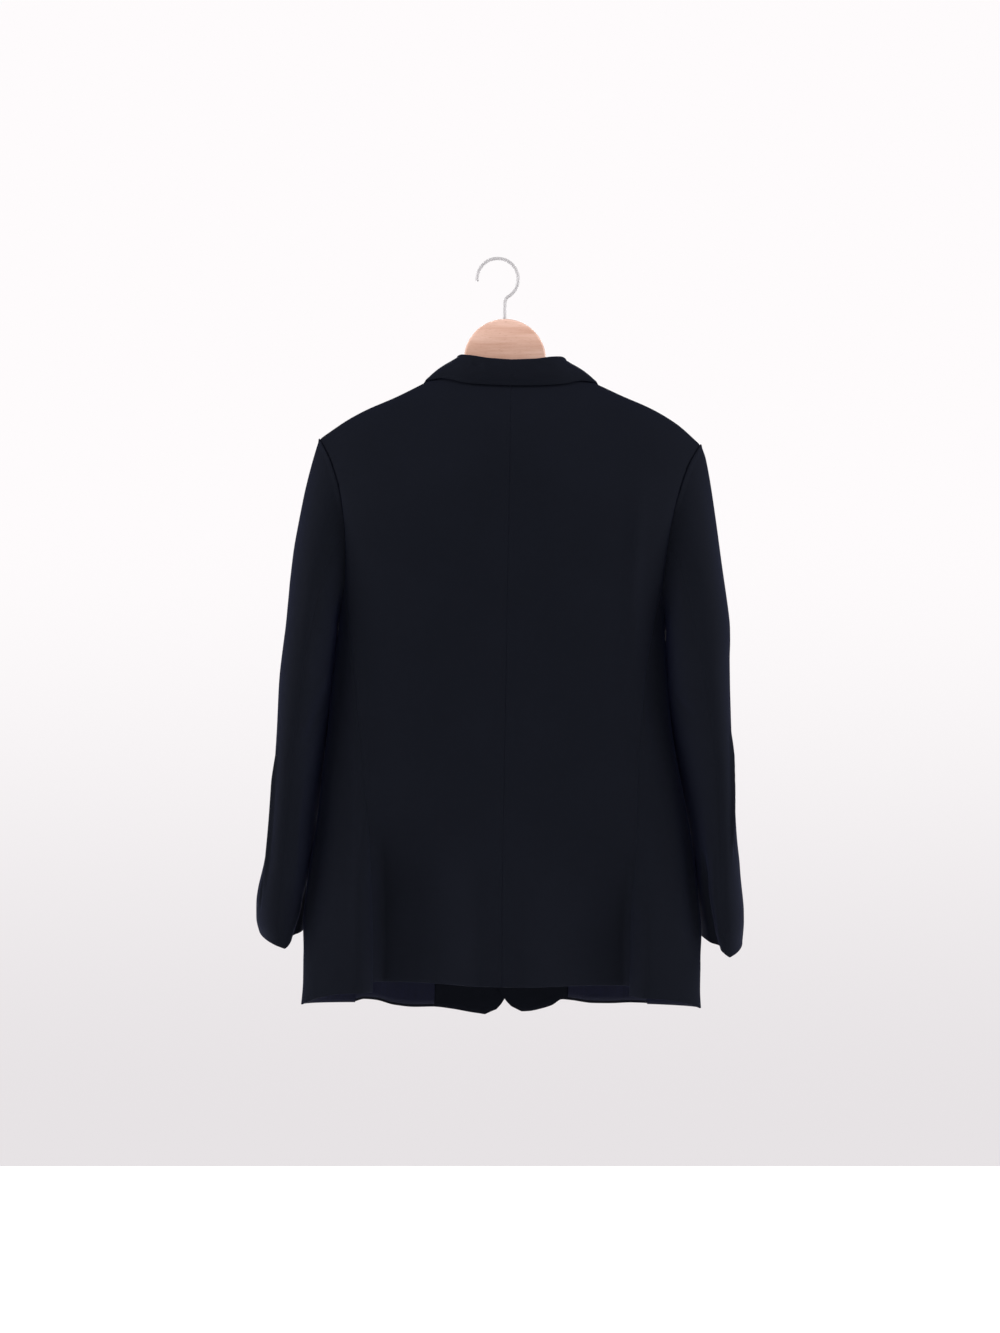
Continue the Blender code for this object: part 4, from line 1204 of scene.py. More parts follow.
@dataclass(frozen=True)
class Sleeve:
    """A two-piece sleeve, from the armhole to its open cuff.

    Its rings lie at even steps down it. Each is its outer side's distance and height, its inner
    side's, half its depth, how far forward it hangs and its skew.
    """

    side: Side
    pattern: Pattern
    cuff_slope: float = 0.020
    hind_seam: float = math.radians(262)
    seam_radius: float = 0.06
    arc_radius: float = 0.066
    sloped: Place = (0.55, 1.0)
    tilted: Place = (0.80, 1.0)
    freed: Place = (0.0, 0.42)
    outlined: Place = (0.0, 0.10)
    head_roll: float = 0.0016
    rings: Rows = (
        (0.2325, -0.222, 0.1985, -0.44, 0.044, 0.01, 0.0),
        (0.242, -0.262, 0.2005, -0.448, 0.052, 0.008, 0.0),
        (0.254, -0.32, 0.202, -0.46, 0.062, 0.006, 0.002),
        (0.2635, -0.385, 0.2, -0.485, 0.069, 0.005, 0.005),
        (0.271, -0.455, 0.2015, -0.52, 0.071, 0.006, 0.009),
        (0.2745, -0.525, 0.2075, -0.565, 0.07, 0.01, 0.012),
        (0.2765, -0.6, 0.217, -0.625, 0.07, 0.017, 0.014),
        (0.28, -0.67, 0.2265, -0.685, 0.067, 0.022, 0.012),
        (0.2875, -0.735, 0.232, -0.74, 0.065, 0.029, 0.008),
        (0.295, -0.785, 0.2385, -0.785, 0.063, 0.036, 0.005),
        (0.2955, -0.821, 0.243, -0.821, 0.061, 0.042, 0.004),
    )

    @cached_property
    def curves(self) -> list[SmoothCurve]:
        """Return a smooth curve for each column of the rings, by the ring's number."""
        return curves_of(self.rings, range(len(self.rings)))

    @cached_property
    def armhole(self) -> tuple[Callable, float]:
        """Return the seam that the sleeve is sewn to, and the angle of its own front seam."""
        return self.pattern.armhole(self.side)

    def tube(self, angle: Array, along: Array) -> Array:
        """Lay points on the unfolded sleeve, drawn for the right.

        Args:
            angle: The points' angles round the sleeve.
            along: Their places, from 0 at the armhole to 1 at the cuff.

        Returns:
            The points.
        """
        row = along * (len(self.rings) - 1)
        outer_x, outer_z, inner_x, inner_z, half_depth, forward, skew = (c(row) for c in self.curves)
        cosine, sine = np.cos(angle), np.sin(angle)
        outer = stacked(outer_x, forward, outer_z)
        inner = stacked(inner_x, forward, inner_z)
        hem = CUFF_HEMS[self.side]
        rise = self.cuff_slope * hem.level(cosine, sine) * ramp(along, *self.sloped)
        rise = rise + hem.tilt(cosine) * ramp(along, *self.tilted)
        free = (outer + inner) / 2 + (outer - inner) / 2 * cosine[..., None]
        free = free + stacked(-skew * sine, half_depth * sine, rise)
        point = lerp(self.armhole[0](angle), free, ramp(along, *self.freed))
        outline = SmoothCurve(SLEEVE_OUTLINES[self.side])(point[..., 2])
        point[..., 0] += outline * (1 + cosine) / 2 * ramp(along, *self.outlined)
        return point

    def sheet(self, start: float, stop: float, count: int) -> Sheet:
        """Cut a piece of the sleeve.

        Args:
            start: The angle round the sleeve at which the piece starts.
            stop: The angle at which it ends.
            count: How many columns it has.

        Returns:
            The piece.
        """
        angle, v = np.meshgrid(start + crowded(count, 0.5) * (stop - start), crowded(165, 0.35))
        along = 1 - v
        seam_reach, step, turn_step = 0.02, 0.004, 0.08
        middle = angle
        for seam in (self.armhole[1], self.hind_seam, self.hind_seam - math.tau):
            middle = np.where(np.abs(angle - seam) < seam_reach, seam, middle)
        ahead = np.minimum(along + step, 1)
        further = self.tube(middle, ahead) - self.tube(middle, ahead - step)
        round_it = self.tube(middle + turn_step, along) - self.tube(middle - turn_step, along)
        normal = unit(np.cross(further, round_it))
        point = self.tube(angle, along)
        arc = np.mod(angle - math.pi, math.tau) * self.arc_radius
        lift = lifted(SLEEVE_FOLDS[self.side], arc, point[..., 2])
        from_top = np.abs(np.mod(angle + math.pi, math.tau) - math.pi)
        head = ramp(along, 0, 0.02) * ramp(along, 0.10, 0.04) * ramp(from_top, 1.5, 0.7)
        point = point + normal * (lift + self.head_roll * head)[..., None]
        return Sheet(point * self.side.mirror, normal * self.side.mirror)

    def pieces(self) -> dict[str, Sheet]:
        """Return the top sleeve and the under sleeve."""
        fore = self.armhole[1]
        past = SEAM_OVERLAP / 2 / self.seam_radius
        sheets = {
            "top": self.sheet(self.hind_seam - math.tau - past, fore + past, 130),
            "under": self.sheet(fore - past, self.hind_seam + past, 80),
        }
        sheets = {kind: sheet.sewn(Edge.FIRST, Edge.LAST, depth=0.0003) for kind, sheet in sheets.items()}
        return {kind: sheet.sewn(Edge.TOP, depth=0.0004, width=0.0034) for kind, sheet in sheets.items()}


@dataclass(frozen=True)
class Collar:
    """The collar: stand and fall in one, folded over along its top, and the two lapels.

    Its stations run round the neck from the centre back. Each is the neck's seam, as distance
    and drop below the shoulder's ridge, the fold, as a point, and the fall's edge, like the
    seam. A drop is negative behind the ridge.
    """

    pattern: Pattern
    fold_width: float = 0.0048
    fold_height: float = 0.55
    fold_from: float = 0.3
    fold_to: float = 0.5
    fall_arch: float = 0.0022
    seam_rise: float = 0.0026
    end_reach: float = 1.6
    end_lift: float = 0.003
    notch: Place = (0.098, -0.232)
    notch_gap: float = 0.0036
    lapel_point: Place = (0.1350, -0.2455)
    lapel_notch_share: float = 0.58
    collar_notch_share: float = 0.62
    lapel_foot: float = 0.03
    lapel_head: float = 1 / 6
    lapel_belly: float = 0.009
    lapel_roll: float = 0.0035
    lapel_parting: Place = (0.0015, 0.0035)
    stations: Rows = (
        (0.0, -0.045, 0.0, -0.035, -0.125, 0.0, -0.053),
        (0.028, -0.033, 0.028, -0.0325, -0.1232, 0.03, -0.0385),
        (0.052, -0.018, 0.049, -0.0235, -0.1195, 0.06, -0.0225),
        (0.069, -0.0045, 0.0605, -0.01, -0.118, 0.085, -0.0065),
        (0.0755, 0.0, 0.064, 0.004, -0.1195, 0.102, 0.0),
        (0.0725, 0.0095, 0.0635, 0.02, -0.133, 0.112, 0.01),
        (0.066, 0.03, 0.062, 0.036, -0.157, 0.1185, 0.028),
        (0.0585, 0.059, 0.059, 0.049, -0.187, 0.1215, 0.049),
    )

    def on_shoulder(self, across: Array, drop: Array) -> tuple[Array, Array]:
        """Lay points on the body near the shoulder.

        Args:
            across: Their distances from the middle line.
            drop: How far they lie below the shoulder's ridge, negative behind it.

        Returns:
            The points and their unit normals.
        """
        form = self.pattern.form
        height = form.ridge(across) - np.abs(drop)
        behind = (drop < 0)[..., None]
        points = np.where(behind, *[form.base(across, height, face) for face in Face])
        return points, np.where(behind, *[form.normal(across, height, face) for face in Face])

    def middle(self, station: Array, share: Array) -> Array:
        """Lay points in the middle of the collar's thickness.

        Args:
            station: Their places round the neck, 0 at the centre back.
            share: Their places up the stand, over the fold and down the fall, from 0 to 1.

        Returns:
            The points.
        """
        rows = [curve(station) for curve in curves_of(self.stations, range(len(self.stations)))]
        seam, seam_normal = self.on_shoulder(*rows[:2])
        fold = stacked(*rows[2:5])
        edge, edge_normal = self.on_shoulder(*rows[5:])
        edge = edge + edge_normal * (CLOTH / 2 + LAID_GAP)
        seam = seam - seam_normal * (CLOTH / 2) + np.array([0, 0, self.seam_rise])
        half = unit(fold * np.array([1, 1, 0])) * (self.fold_width / 2)
        drop = np.array([0, 0, self.fold_width * self.fold_height])
        stand_top = fold - half - drop
        fall_top = fold + half - drop
        bend = math.pi * np.clip((share - self.fold_from) / (self.fold_to - self.fold_from), 0, 1)[..., None]
        over = (stand_top + fall_top) / 2 - half * np.cos(bend) + drop * np.sin(bend)
        down = self.down_fall(share)
        fall = lerp(fall_top, edge, down)
        fall = fall + edge_normal * (self.fall_arch * np.sin(math.pi * down))[..., None]
        last = len(self.stations) - 1
        near_end = ramp(np.abs(station), last - self.end_reach, last)
        ended = self.end(fall, fall_top, edge, down, near_end)
        fall = np.where((near_end > 0)[..., None], ended, fall)
        stand = lerp(seam, stand_top, np.clip(share / self.fold_from, 0, 1))
        point = np.where((share < self.fold_to)[..., None], over, fall)
        return np.where((share <= self.fold_from)[..., None], stand, point)

    def down_fall(self, share: Array) -> Array:
        """Return places down the fall, from 0 to 1, of places over the whole section."""
        return np.clip((share - self.fold_to) / (1 - self.fold_to), 0, 1)

    def end(self, point: Array, fall_top: Array, edge: Array, down: Array, near_end: Array) -> Array:
        """Drop the front end of the fall towards the notch.

        Args:
            point: Points of the fall.
            fall_top: The fall's top above each.
            edge: The fall's edge below each.
            down: Their places down the fall, from 0 to 1.
            near_end: How near the front end they are, from 0 to 1.

        Returns:
            The points where the end is dropped.
        """
        form = self.pattern.form
        top = fall_top[..., [0, 2]]
        corner = edge[..., [0, 2]]
        notch = np.array(self.notch) + np.array([-self.notch_gap / 2, self.notch_gap])
        target = bent(top, notch, corner, down, self.collar_notch_share)
        flat = lerp(point[..., [0, 2]], target, near_end**2)
        across, height = flat[..., 0], flat[..., 1]
        rise = CLOTH / 2 + LAID_GAP + self.end_lift * (1 - down)
        normal = form.normal(across, height, Face.FRONT)
        laid = form.base(across, height, Face.FRONT) + normal * rise[..., None]
        depth = point[..., 1] * (1 - near_end) + laid[..., 1] * near_end
        return stacked(across, np.maximum(laid[..., 1], depth), height)

    def collar(self) -> Sheet:
        """Cut the collar, from end to end round the neck.

        Returns:
            Its outer side, up the stand and down the fall.
        """
        last = len(self.stations) - 1
        stand = np.linspace(0, self.fold_from, 12)[:-1]
        fold = np.linspace(self.fold_from, self.fold_to, 16)[:-1]
        profile = np.concatenate([stand, fold, np.linspace(self.fold_to, 1, 30)])
        station, share = np.meshgrid(np.linspace(-last, last, 211), profile)
        apart = np.abs(station)
        step = 0.01
        here = self.middle(apart, share)
        upper = self.middle(apart, np.minimum(share + step, 1))
        lower = self.middle(apart, np.maximum(share - step, 0))
        onwards = self.middle(apart + step, share) - self.middle(np.maximum(apart - step, 0), share)
        onwards = np.where((apart < step)[..., None], np.array([1.0, 0, 0]), onwards)
        normal = unit(np.cross(upper - lower, onwards))
        down = self.down_fall(share)
        soft = lifted(COLLAR_FOLDS, station, down) * ramp(down, 0, 0.12) * ramp(down, 1, 0.85)
        point = here + normal * (CLOTH / 2 + soft)[..., None]
        mirror = stacked(np.where(station < 0, -1, 1), 1, 1)
        return Sheet(point * mirror, normal * mirror).edge_stitched(Edge.TOP)

    def lapel(self, side: Side) -> Sheet:
        """Cut a lapel, turned back over its front.

        Args:
            side: The side of the front.

        Returns:
            The side of the lapel that shows.
        """
        pattern = self.pattern
        tip, notch = np.array(self.lapel_point), np.array(self.notch)
        top, foot = np.array(pattern.roll_top), np.array(pattern.roll_break)
        edge_line = tip - foot
        belly = np.array([edge_line[1], -edge_line[0]]) / np.linalg.norm(edge_line) * self.lapel_belly
        u, v = np.meshgrid(crowded(34, 0.4), self.lapel_foot + (1 - self.lapel_foot) * crowded(110, 0.4))
        down = 1 - v
        inner = lerp(top, foot, down)
        outer = lerp(tip, foot, down) + belly * np.sin(math.pi * down)[..., None]
        flat = lerp(inner, outer, u)
        upper = bent(top, notch, tip, u, self.lapel_notch_share)
        flat = lerp(flat, upper, ramp(down, self.lapel_head, 0))
        across, height = flat[..., 0], flat[..., 1]
        if side is Side.RIGHT:
            inner_gap, outer_gap = self.lapel_parting
            gap = inner_gap + (outer_gap - inner_gap) * u
            across = np.maximum(across, gap - pattern.roll_line(height))
        points, normals = pattern.on_front(across, height, side)
        roll = self.lapel_roll * np.sin(math.pi * np.minimum(u / 0.8, 1)) ** 2 * ramp(v, 0, 1 / 8)
        above = LAID_GAP * 1.5 + CLOTH + roll
        return Sheet(points + normals * above[..., None], normals).edge_stitched(Edge.LAST)


@dataclass(frozen=True)
class Pockets:
    """The flaps of the two hip pockets and the breast welt."""

    pattern: Pattern
    flap_top: float = -0.628
    flap_depth: float = 0.052
    flap_span: Place = (0.072, 0.198)
    flap_corner: float = 0.014
    corner_power: float = 7
    welt_height: float = -0.345
    welt_depth: float = 0.022
    welt_span: Place = (0.104, 0.178)
    welt_rise: float = 0.012

    def flap(self, side: Side) -> Sheet:
        """Cut a pocket flap, which lies on the front and the side body.

        Args:
            side: The side of the front.

        Returns:
            The flap.
        """
        form = self.pattern.form
        inner, outer = self.flap_span
        u, v = np.meshgrid(crowded(60, 0.6), crowded(26, 0.4))
        low = self.flap_top - self.flap_depth + self.flap_corner * np.abs(2 * u - 1) ** self.corner_power
        height = low + v * (self.flap_top - low)
        turn = form.turn_of(inner + u * (outer - inner), height, Face.FRONT)
        points, normals = form.turned(turn, height, side)
        sheet = Sheet(points + normals * (LAID_GAP + CLOTH), normals)
        return sheet.edge_stitched(Edge.FIRST, Edge.LAST, Edge.HEM)

    def welt(self) -> Sheet:
        """Cut the breast welt, on the left front.

        Returns:
            The welt.
        """
        inner, outer = self.welt_span
        u, v = np.meshgrid(crowded(40, 0.6), crowded(14, 0.4))
        height = self.welt_height + u * self.welt_rise + v * self.welt_depth
        points, normals = self.pattern.on_front(inner + u * (outer - inner), height, Side.LEFT)
        return Sheet(points + normals * (CLEARANCE + CLOTH), normals)


# What makes a Mix node mix colours.
COLOURS = {"data_type": "RGBA"}


def linear(hex_colour: str) -> tuple[float, float, float, float]:
    """Return an sRGB hex colour as linear values with full alpha."""
    values = [int(hex_colour[i : i + 2], 16) / 255 for i in (1, 3, 5)]
    return (*[v / 12.92 if v <= 0.04045 else ((v + 0.055) / 1.055) ** 2.4 for v in values], 1.0)


def add_node(tree: NodeTree, kind: str, output: str | int = 0, settings: dict | None = None,
             **inputs: object) -> NodeSocket:
    """Add a node with its settings, values and links.

    Args:
        tree: The node tree.
        kind: The node's type, without the prefix ShaderNode.
        output: The output that is used.
        settings: Its properties.
        inputs: Its sockets, as fill takes them.

    Returns:
        That output.
    """
    node = tree.nodes.new("ShaderNode" + kind)
    for key, value in (settings or {}).items():
        setattr(node, key, value)
    fill(tree, node, **inputs)
    return node.outputs[output]


def fill(tree: NodeTree, node: Node, **inputs: object) -> None:
    """Fill a node's sockets.

    Args:
        tree: The node tree.
        node: The node.
        inputs: The sockets, with _ for a space, or i and a number for a socket by its place.
            Each gets a value, an sRGB hex colour or an output socket to link.
    """
    for key, value in inputs.items():
        socket = node.inputs[int(key[1:]) if key[1:].isdigit() else key.replace("_", " ")]
        if isinstance(value, NodeSocket):
            tree.links.new(value, socket)
        else:
            socket.default_value = linear(value) if isinstance(value, str) else value


def new_material(name: str) -> tuple[Material, NodeTree, Node]:
    """Return a new material, its node tree and its Principled shader."""
    material = bpy.data.materials.new(name)
    material.use_nodes = True
    tree = material.node_tree
    return material, tree, tree.nodes["Principled BSDF"]


@dataclass(frozen=True)
class Worsted:
    """Navy worsted wool twill, woven and pressed: near black, with a low dry sheen."""

    dark: str = "#07090d"
    light: str = "#0f1118"
    sheen: str = "#6a74c4"
    rib: float = 0.0011  # a worsted twill's ribs are 0.5 mm apart, drawn double so that they show
    melange: float = 0.0016
    shade: float = 0.11
    fuzz: float = 0.0004

    def material(self) -> Material:
        """Return the material."""
        material, tree, shader = new_material("navy_worsted_twill")
        cloth = add_node(tree, "Attribute", "Vector", {"attribute_name": "cloth_place"})
        turned = add_node(tree, "Mapping", Vector=cloth, Rotation=(0, 0, math.radians(58)))
        ribs = add_node(
            tree, "TexWave", "Fac", {"wave_profile": "SIN"}, Vector=turned, Scale=math.tau / (20 * self.rib),
            Distortion=0.6, Detail=1.0, Detail_Scale=2.0,
        )
        mixed, broad, fibres = [
            add_node(tree, "TexNoise", "Fac", Vector=cloth, Scale=1 / size, Detail=detail, Roughness=rough)
            for size, detail, rough in (
                (self.melange, 3.0, 0.6), (self.shade, 2.0, 0.5), (self.fuzz, 2.0, 0.5),
            )
        ]
        multiply_add = {"operation": "MULTIPLY_ADD"}
        share = add_node(tree, "Math", 0, multiply_add, i0=mixed, i1=0.55, i2=0.0)
        share = add_node(tree, "Math", 0, multiply_add, i0=broad, i1=0.45, i2=share)
        colour = add_node(tree, "Mix", 2, COLOURS, i0=share, i6=self.dark, i7=self.light)
        height = add_node(tree, "Math", 0, multiply_add, i0=ribs, i1=0.6, i2=fibres)
        bump = add_node(tree, "Bump", Height=height, Strength=0.22, Distance=0.00016)
        fill(
            tree, shader, Base_Color=colour, Normal=bump, Roughness=0.86,
            Specular_IOR_Level=0.05, Sheen_Weight=0.05, Sheen_Roughness=0.55, Sheen_Tint=self.sheen,
        )
        return material


@dataclass(frozen=True)
class Satin:
    """Purple-navy lining satin: smooth, with a long soft gloss across the threads."""

    dark: str = "#080a17"
    light: str = "#0f1229"
    thread: tuple[float, float] = (0.0011, 0.030)  # drawn ten times as thick as real to show

    def material(self) -> Material:
        """Return the material."""
        material, tree, shader = new_material("purple_navy_satin")
        cloth = add_node(tree, "Attribute", "Vector", {"attribute_name": "cloth_place"})
        thick, long = self.thread
        drawn = add_node(tree, "Mapping", Vector=cloth, Scale=(1 / thick, 1 / long, 1))
        threads = add_node(tree, "TexNoise", "Fac", Vector=drawn, Scale=1.0, Detail=2.0)
        colour = add_node(tree, "Mix", 2, COLOURS, i0=threads, i6=self.dark, i7=self.light)
        bump = add_node(tree, "Bump", Height=threads, Strength=0.12, Distance=0.0001)
        fill(
            tree, shader, Base_Color=colour, Normal=bump, Roughness=0.48,
            Specular_IOR_Level=0.12,
        )
        return material


@dataclass(frozen=True)
class Beech:
    """Pale beech, sanded and lacquered: pinkish, with short dark flecks along the grain."""

    pale: str = "#d0ab9b"
    warm: str = "#bd927e"
    fleck: str = "#a47660"
    grain: tuple[float, float] = (0.090, 0.008)
    flecks: tuple[float, float] = (0.006, 0.0006)

    def material(self) -> Material:
        """Return the material."""
        material, tree, shader = new_material("lacquered_beech")
        place = add_node(tree, "TexCoord", "Object")
        noises = []
        for (long, wide), detail, rough in ((self.grain, 4.0, 0.6), (self.flecks, 1.0, 0.5)):
            drawn = add_node(tree, "Mapping", Vector=place, Scale=(1 / long, 1 / wide, 1 / wide))
            noise = add_node(tree, "TexNoise", "Fac", Vector=drawn, Scale=1.0, Detail=detail, Roughness=rough)
            noises.append(noise)
        few = add_node(tree, "MapRange", Value=noises[1], From_Min=0.60, From_Max=0.74, To_Max=0.55)
        broad = add_node(tree, "MapRange", Value=noises[0], From_Min=0.35, From_Max=0.68)
        wood = add_node(tree, "Mix", 2, COLOURS, i0=broad, i6=self.pale, i7=self.warm)
        marked = add_node(tree, "Mix", 2, COLOURS, i0=few, i6=wood, i7=self.fleck)
        bump = add_node(tree, "Bump", Height=noises[1], Strength=0.06, Distance=0.0001)
        fill(tree, shader, Base_Color=marked, Normal=bump, Roughness=0.42)
        return material


@dataclass(frozen=True)
class SteelWire:
    """Drawn steel wire, matt nickelled: a soft light grey, with hardly a gloss."""

    colour: str = "#aaa7a9"
    wear: float = 0.004

    def material(self) -> Material:
        """Return the material."""
        material, tree, shader = new_material("drawn_steel_wire")
        place = add_node(tree, "TexCoord", "Object")
        worn = add_node(tree, "TexNoise", "Fac", Vector=place, Scale=1 / self.wear, Detail=2.0)
        rough = add_node(tree, "MapRange", Value=worn, To_Min=0.50, To_Max=0.62)
        fill(tree, shader, Roughness=rough, Base_Color=self.colour, Metallic=0.2)
        return material


@dataclass(frozen=True)
class Horn:
    """Dark horn, turned and polished: brown black, with cloudy lighter streaks."""

    dark: str = "#0e0d10"
    light: str = "#2a2422"
    streak: tuple[float, float, float] = (0.010, 0.010, 0.002)

    def material(self) -> Material:
        """Return the material."""
        material, tree, shader = new_material("polished_dark_horn")
        place = add_node(tree, "TexCoord", "Object")
        drawn = add_node(tree, "Mapping", Vector=place, Scale=[1 / size for size in self.streak])
        cloud = add_node(tree, "TexNoise", "Fac", Vector=drawn, Scale=1.0, Detail=3.0, Distortion=0.8)
        share = add_node(tree, "MapRange", Value=cloud, From_Min=0.45, From_Max=0.75)
        colour = add_node(tree, "Mix", 2, COLOURS, i0=share, i6=self.dark, i7=self.light)
        fill(tree, shader, Base_Color=colour, Roughness=0.30)
        return material


@dataclass(frozen=True)
class Thread:
    """Navy polyester sewing thread, twisted: a little brighter than the cloth."""

    dark: str = "#171a2b"
    light: str = "#20243a"
    twist: float = 0.0004  # the length of a thread's twist

    def material(self) -> Material:
        """Return the material."""
        material, tree, shader = new_material("navy_sewing_thread")
        place = add_node(tree, "TexCoord", "Object")
        twist = add_node(tree, "TexWave", "Fac", Vector=place, Scale=math.tau / (20 * self.twist))
        colour = add_node(tree, "Mix", 2, COLOURS, i0=twist, i6=self.dark, i7=self.light)
        fill(tree, shader, Base_Color=colour, Roughness=0.6)
        return material


@dataclass(frozen=True)
class Finishes:
    """The materials of the whole, in the order in which main makes them."""

    wool: Material
    satin: Material
    beech: Material
    steel: Material
    horn: Material
    thread: Material


def add_sheet(piece: Object, nodes: Sequence[str]) -> None:
    """Hang a cloth piece from the root and hide the CAD nodes that it stands for.

    Args:
        piece: The cloth piece.
        nodes: The CAD nodes that it stands for.
    """
    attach(piece, "root")
    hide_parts(*nodes)


def add_hard(piece: Object, slot: Slot, *nodes: str) -> None:
    """Hang a hard piece from the root, hide the CAD nodes that it stands for, if any, and log its faces.

    Args:
        piece: The piece.
        slot: The record's material slot; not used.
        nodes: The CAD nodes that it stands for, if any.
    """
    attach(piece, "root")
    if nodes:
        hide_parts(*nodes)
    log.info("%s: %d faces", piece.name, len(piece.data.polygons))


@dataclass(frozen=True)
class Blazer:
    """All the cloth of the blazer."""

    finishes: Finishes
    pattern: Pattern = Pattern()

    def cloth(self, name: str, sheet: Sheet, nodes: Sequence[str], rests_on: str,
              lined: bool = False) -> None:
        """Add a piece of wool.

        Args:
            name: Its name.
            sheet: Its outer side.
            nodes: The CAD nodes that it stands for.
            rests_on: The node that it hangs from or is sewn to; not used.
            lined: Whether its inner side is lined.
        """
        inside = self.finishes.satin if lined else None
        piece = Wall().grow(name, sheet, self.finishes.wool, inside)
        add_sheet(piece, nodes)

    def build_backs(self) -> None:
        """Add the back panels, the side bodies and the laps below the vents."""
        cut = self.pattern
        for side in Side:
            word = side.word
            nodes = [f"back_{word}", f"upper_back_{word}"]
            self.cloth(f"{word}_back_panel", cut.back(side), nodes, "hanger_wood", True)
            self.cloth(f"{word}_side_panel", cut.side_body(side), [f"side_{word}"], f"back_{word}", True)
            lap = cut.under_lap(side)
            self.cloth(f"{word}_vent_underlap", lap, [f"vent_lap_{word}"], f"side_{word}")

    def build_fronts(self) -> None:
        """Add the fronts with their facings and linings, which end below the shoulder."""
        cut, finishes = self.pattern, self.finishes
        facing_end = cut.facing_share - cut.facing_gap
        lining_start = cut.facing_share + cut.facing_gap
        columns = crowded(46, 0.5)
        rows = PANEL_ROWS[: len(PANEL_ROWS) * 4 // 5]
        lining_rows = cut.lining_rise + rows * (1 - cut.lining_rise)
        layers = (
            ("facing", columns * facing_end, rows, finishes.wool, Slot.WOOL),
            ("lining", lining_start + columns * (1 - lining_start), lining_rows, finishes.satin, Slot.SATIN),
        )
        for side in Side:
            word = side.word
            front = cut.front(side, crowded(90, 0.6), PANEL_ROWS)
            front = front.sewn(Edge.LAST).edge_stitched(Edge.FIRST)
            self.cloth(f"{word}_front_panel", front, [f"front_{word}"], "hanger_wood")
            for layer, u, v, finish, slot in layers:
                sheet = cut.front(side, u, v, CLOTH + LAID_GAP / 2)
                piece = Wall(LINING).grow(f"{word}_front_{layer}", sheet, finish)
                add_sheet(piece, [f"{layer}_{word}"])

    def build_sleeves(self) -> None:
        """Add the two-piece sleeves."""
        for side in Side:
            word = side.word
            for kind, sheet in Sleeve(side, self.pattern).pieces().items():
                name = f"{word}_{kind}_sleeve"
                self.cloth(name, sheet, [f"{kind}_sleeve_{word}"], f"side_{word}", True)

    def build_collar(self) -> None:
        """Add the collar and the lapels."""
        collar = Collar(self.pattern)
        self.cloth("folded_collar", collar.collar(), ["collar"], "upper_back_left")
        for side in Side:
            word = side.word
            self.cloth(f"{word}_lapel_fold", collar.lapel(side), [f"lapel_{word}"], f"front_{word}")

    def build_pockets(self) -> None:
        """Add the pocket flaps and the breast welt."""
        pockets = Pockets(self.pattern)
        for side in Side:
            word = side.word
            self.cloth(f"{word}_hip_flap", pockets.flap(side), [f"pocket_flap_{word}"], f"front_{word}")
        self.cloth("left_breast_welt", pockets.welt(), ["breast_welt"], "front_left")

    def build(self) -> None:
        """Add every cloth piece."""
        self.build_backs()
        self.build_fronts()
        self.build_sleeves()
        self.build_collar()
        self.build_pockets()


@dataclass(frozen=True)
class Button:
    """A four-hole horn button, sewn to the left front beside its buttonhole."""

    node: str
    height: float
    pattern: Pattern
    radius: float = 0.010
    thickness: float = 0.0040
    stitch: float = 0.0006
    section: Line = (
        (0.0, 0.0), (0.8, 0.0), (0.95, 0.16), (1.0, 0.45), (0.985, 0.78), (0.93, 0.96),
        (0.86, 1.0), (0.78, 0.93), (0.7, 0.74), (0.62, 0.66), (0.0, 0.66),
    )

    def seat(self) -> Matrix:
        """Return the matrix that lays the button on the front."""
        point, normal = self.pattern.on_front(np.array([0.0]), np.array([self.height]), Side.LEFT)
        spot = Vector(HANG.settle(point)[0] + normal[0] * CLEARANCE)
        turn = Vector((0, 0, 1)).rotation_difference(Vector(normal[0])).to_matrix().to_4x4()
        return leaned(BLAZER_OFFSET) @ Matrix.Translation(spot) @ turn

    def build(self, finishes: Finishes) -> None:
        """Add the disc and the thread through its holes."""
        r, t = self.radius, self.thickness
        disc = bmesh.new()
        verts = [disc.verts.new((r * out, 0, t * level)) for out, level in self.section]
        edges = [disc.edges.new(pair) for pair in zip(verts, verts[1:])]
        bmesh.ops.spin(
            disc, geom=verts + edges, axis=(0, 0, 1), cent=(0, 0, 0), angle=math.tau, steps=48,
            use_merge=True,
        )
        bmesh.ops.remove_doubles(disc, verts=disc.verts[:], dist=1e-6)
        piece = dressed(disc, self.node + "_disc", finishes.horn, place=self.seat(), sharp=50)
        add_hard(piece, Slot.HORN, self.node)
        stitches = bmesh.new()
        face = t * self.section[-1][1]
        for turn, above in ((0, 0.0004), (math.pi / 2, 0.00055708)):
            bar = bmesh.ops.create_uvsphere(stitches, u_segments=16, v_segments=8, radius=self.stitch)
            bmesh.ops.scale(stitches, vec=(1, 3.4, 0.8), verts=bar["verts"])
            crossed = Matrix.Translation((0, 0, face + above)) @ Matrix.Rotation(turn, 4, "Z")
            bmesh.ops.transform(stitches, matrix=crossed, verts=bar["verts"])
        knot = dressed(stitches, self.node + "_stitches", finishes.thread, place=self.seat())
        add_hard(knot, Slot.WOOL)


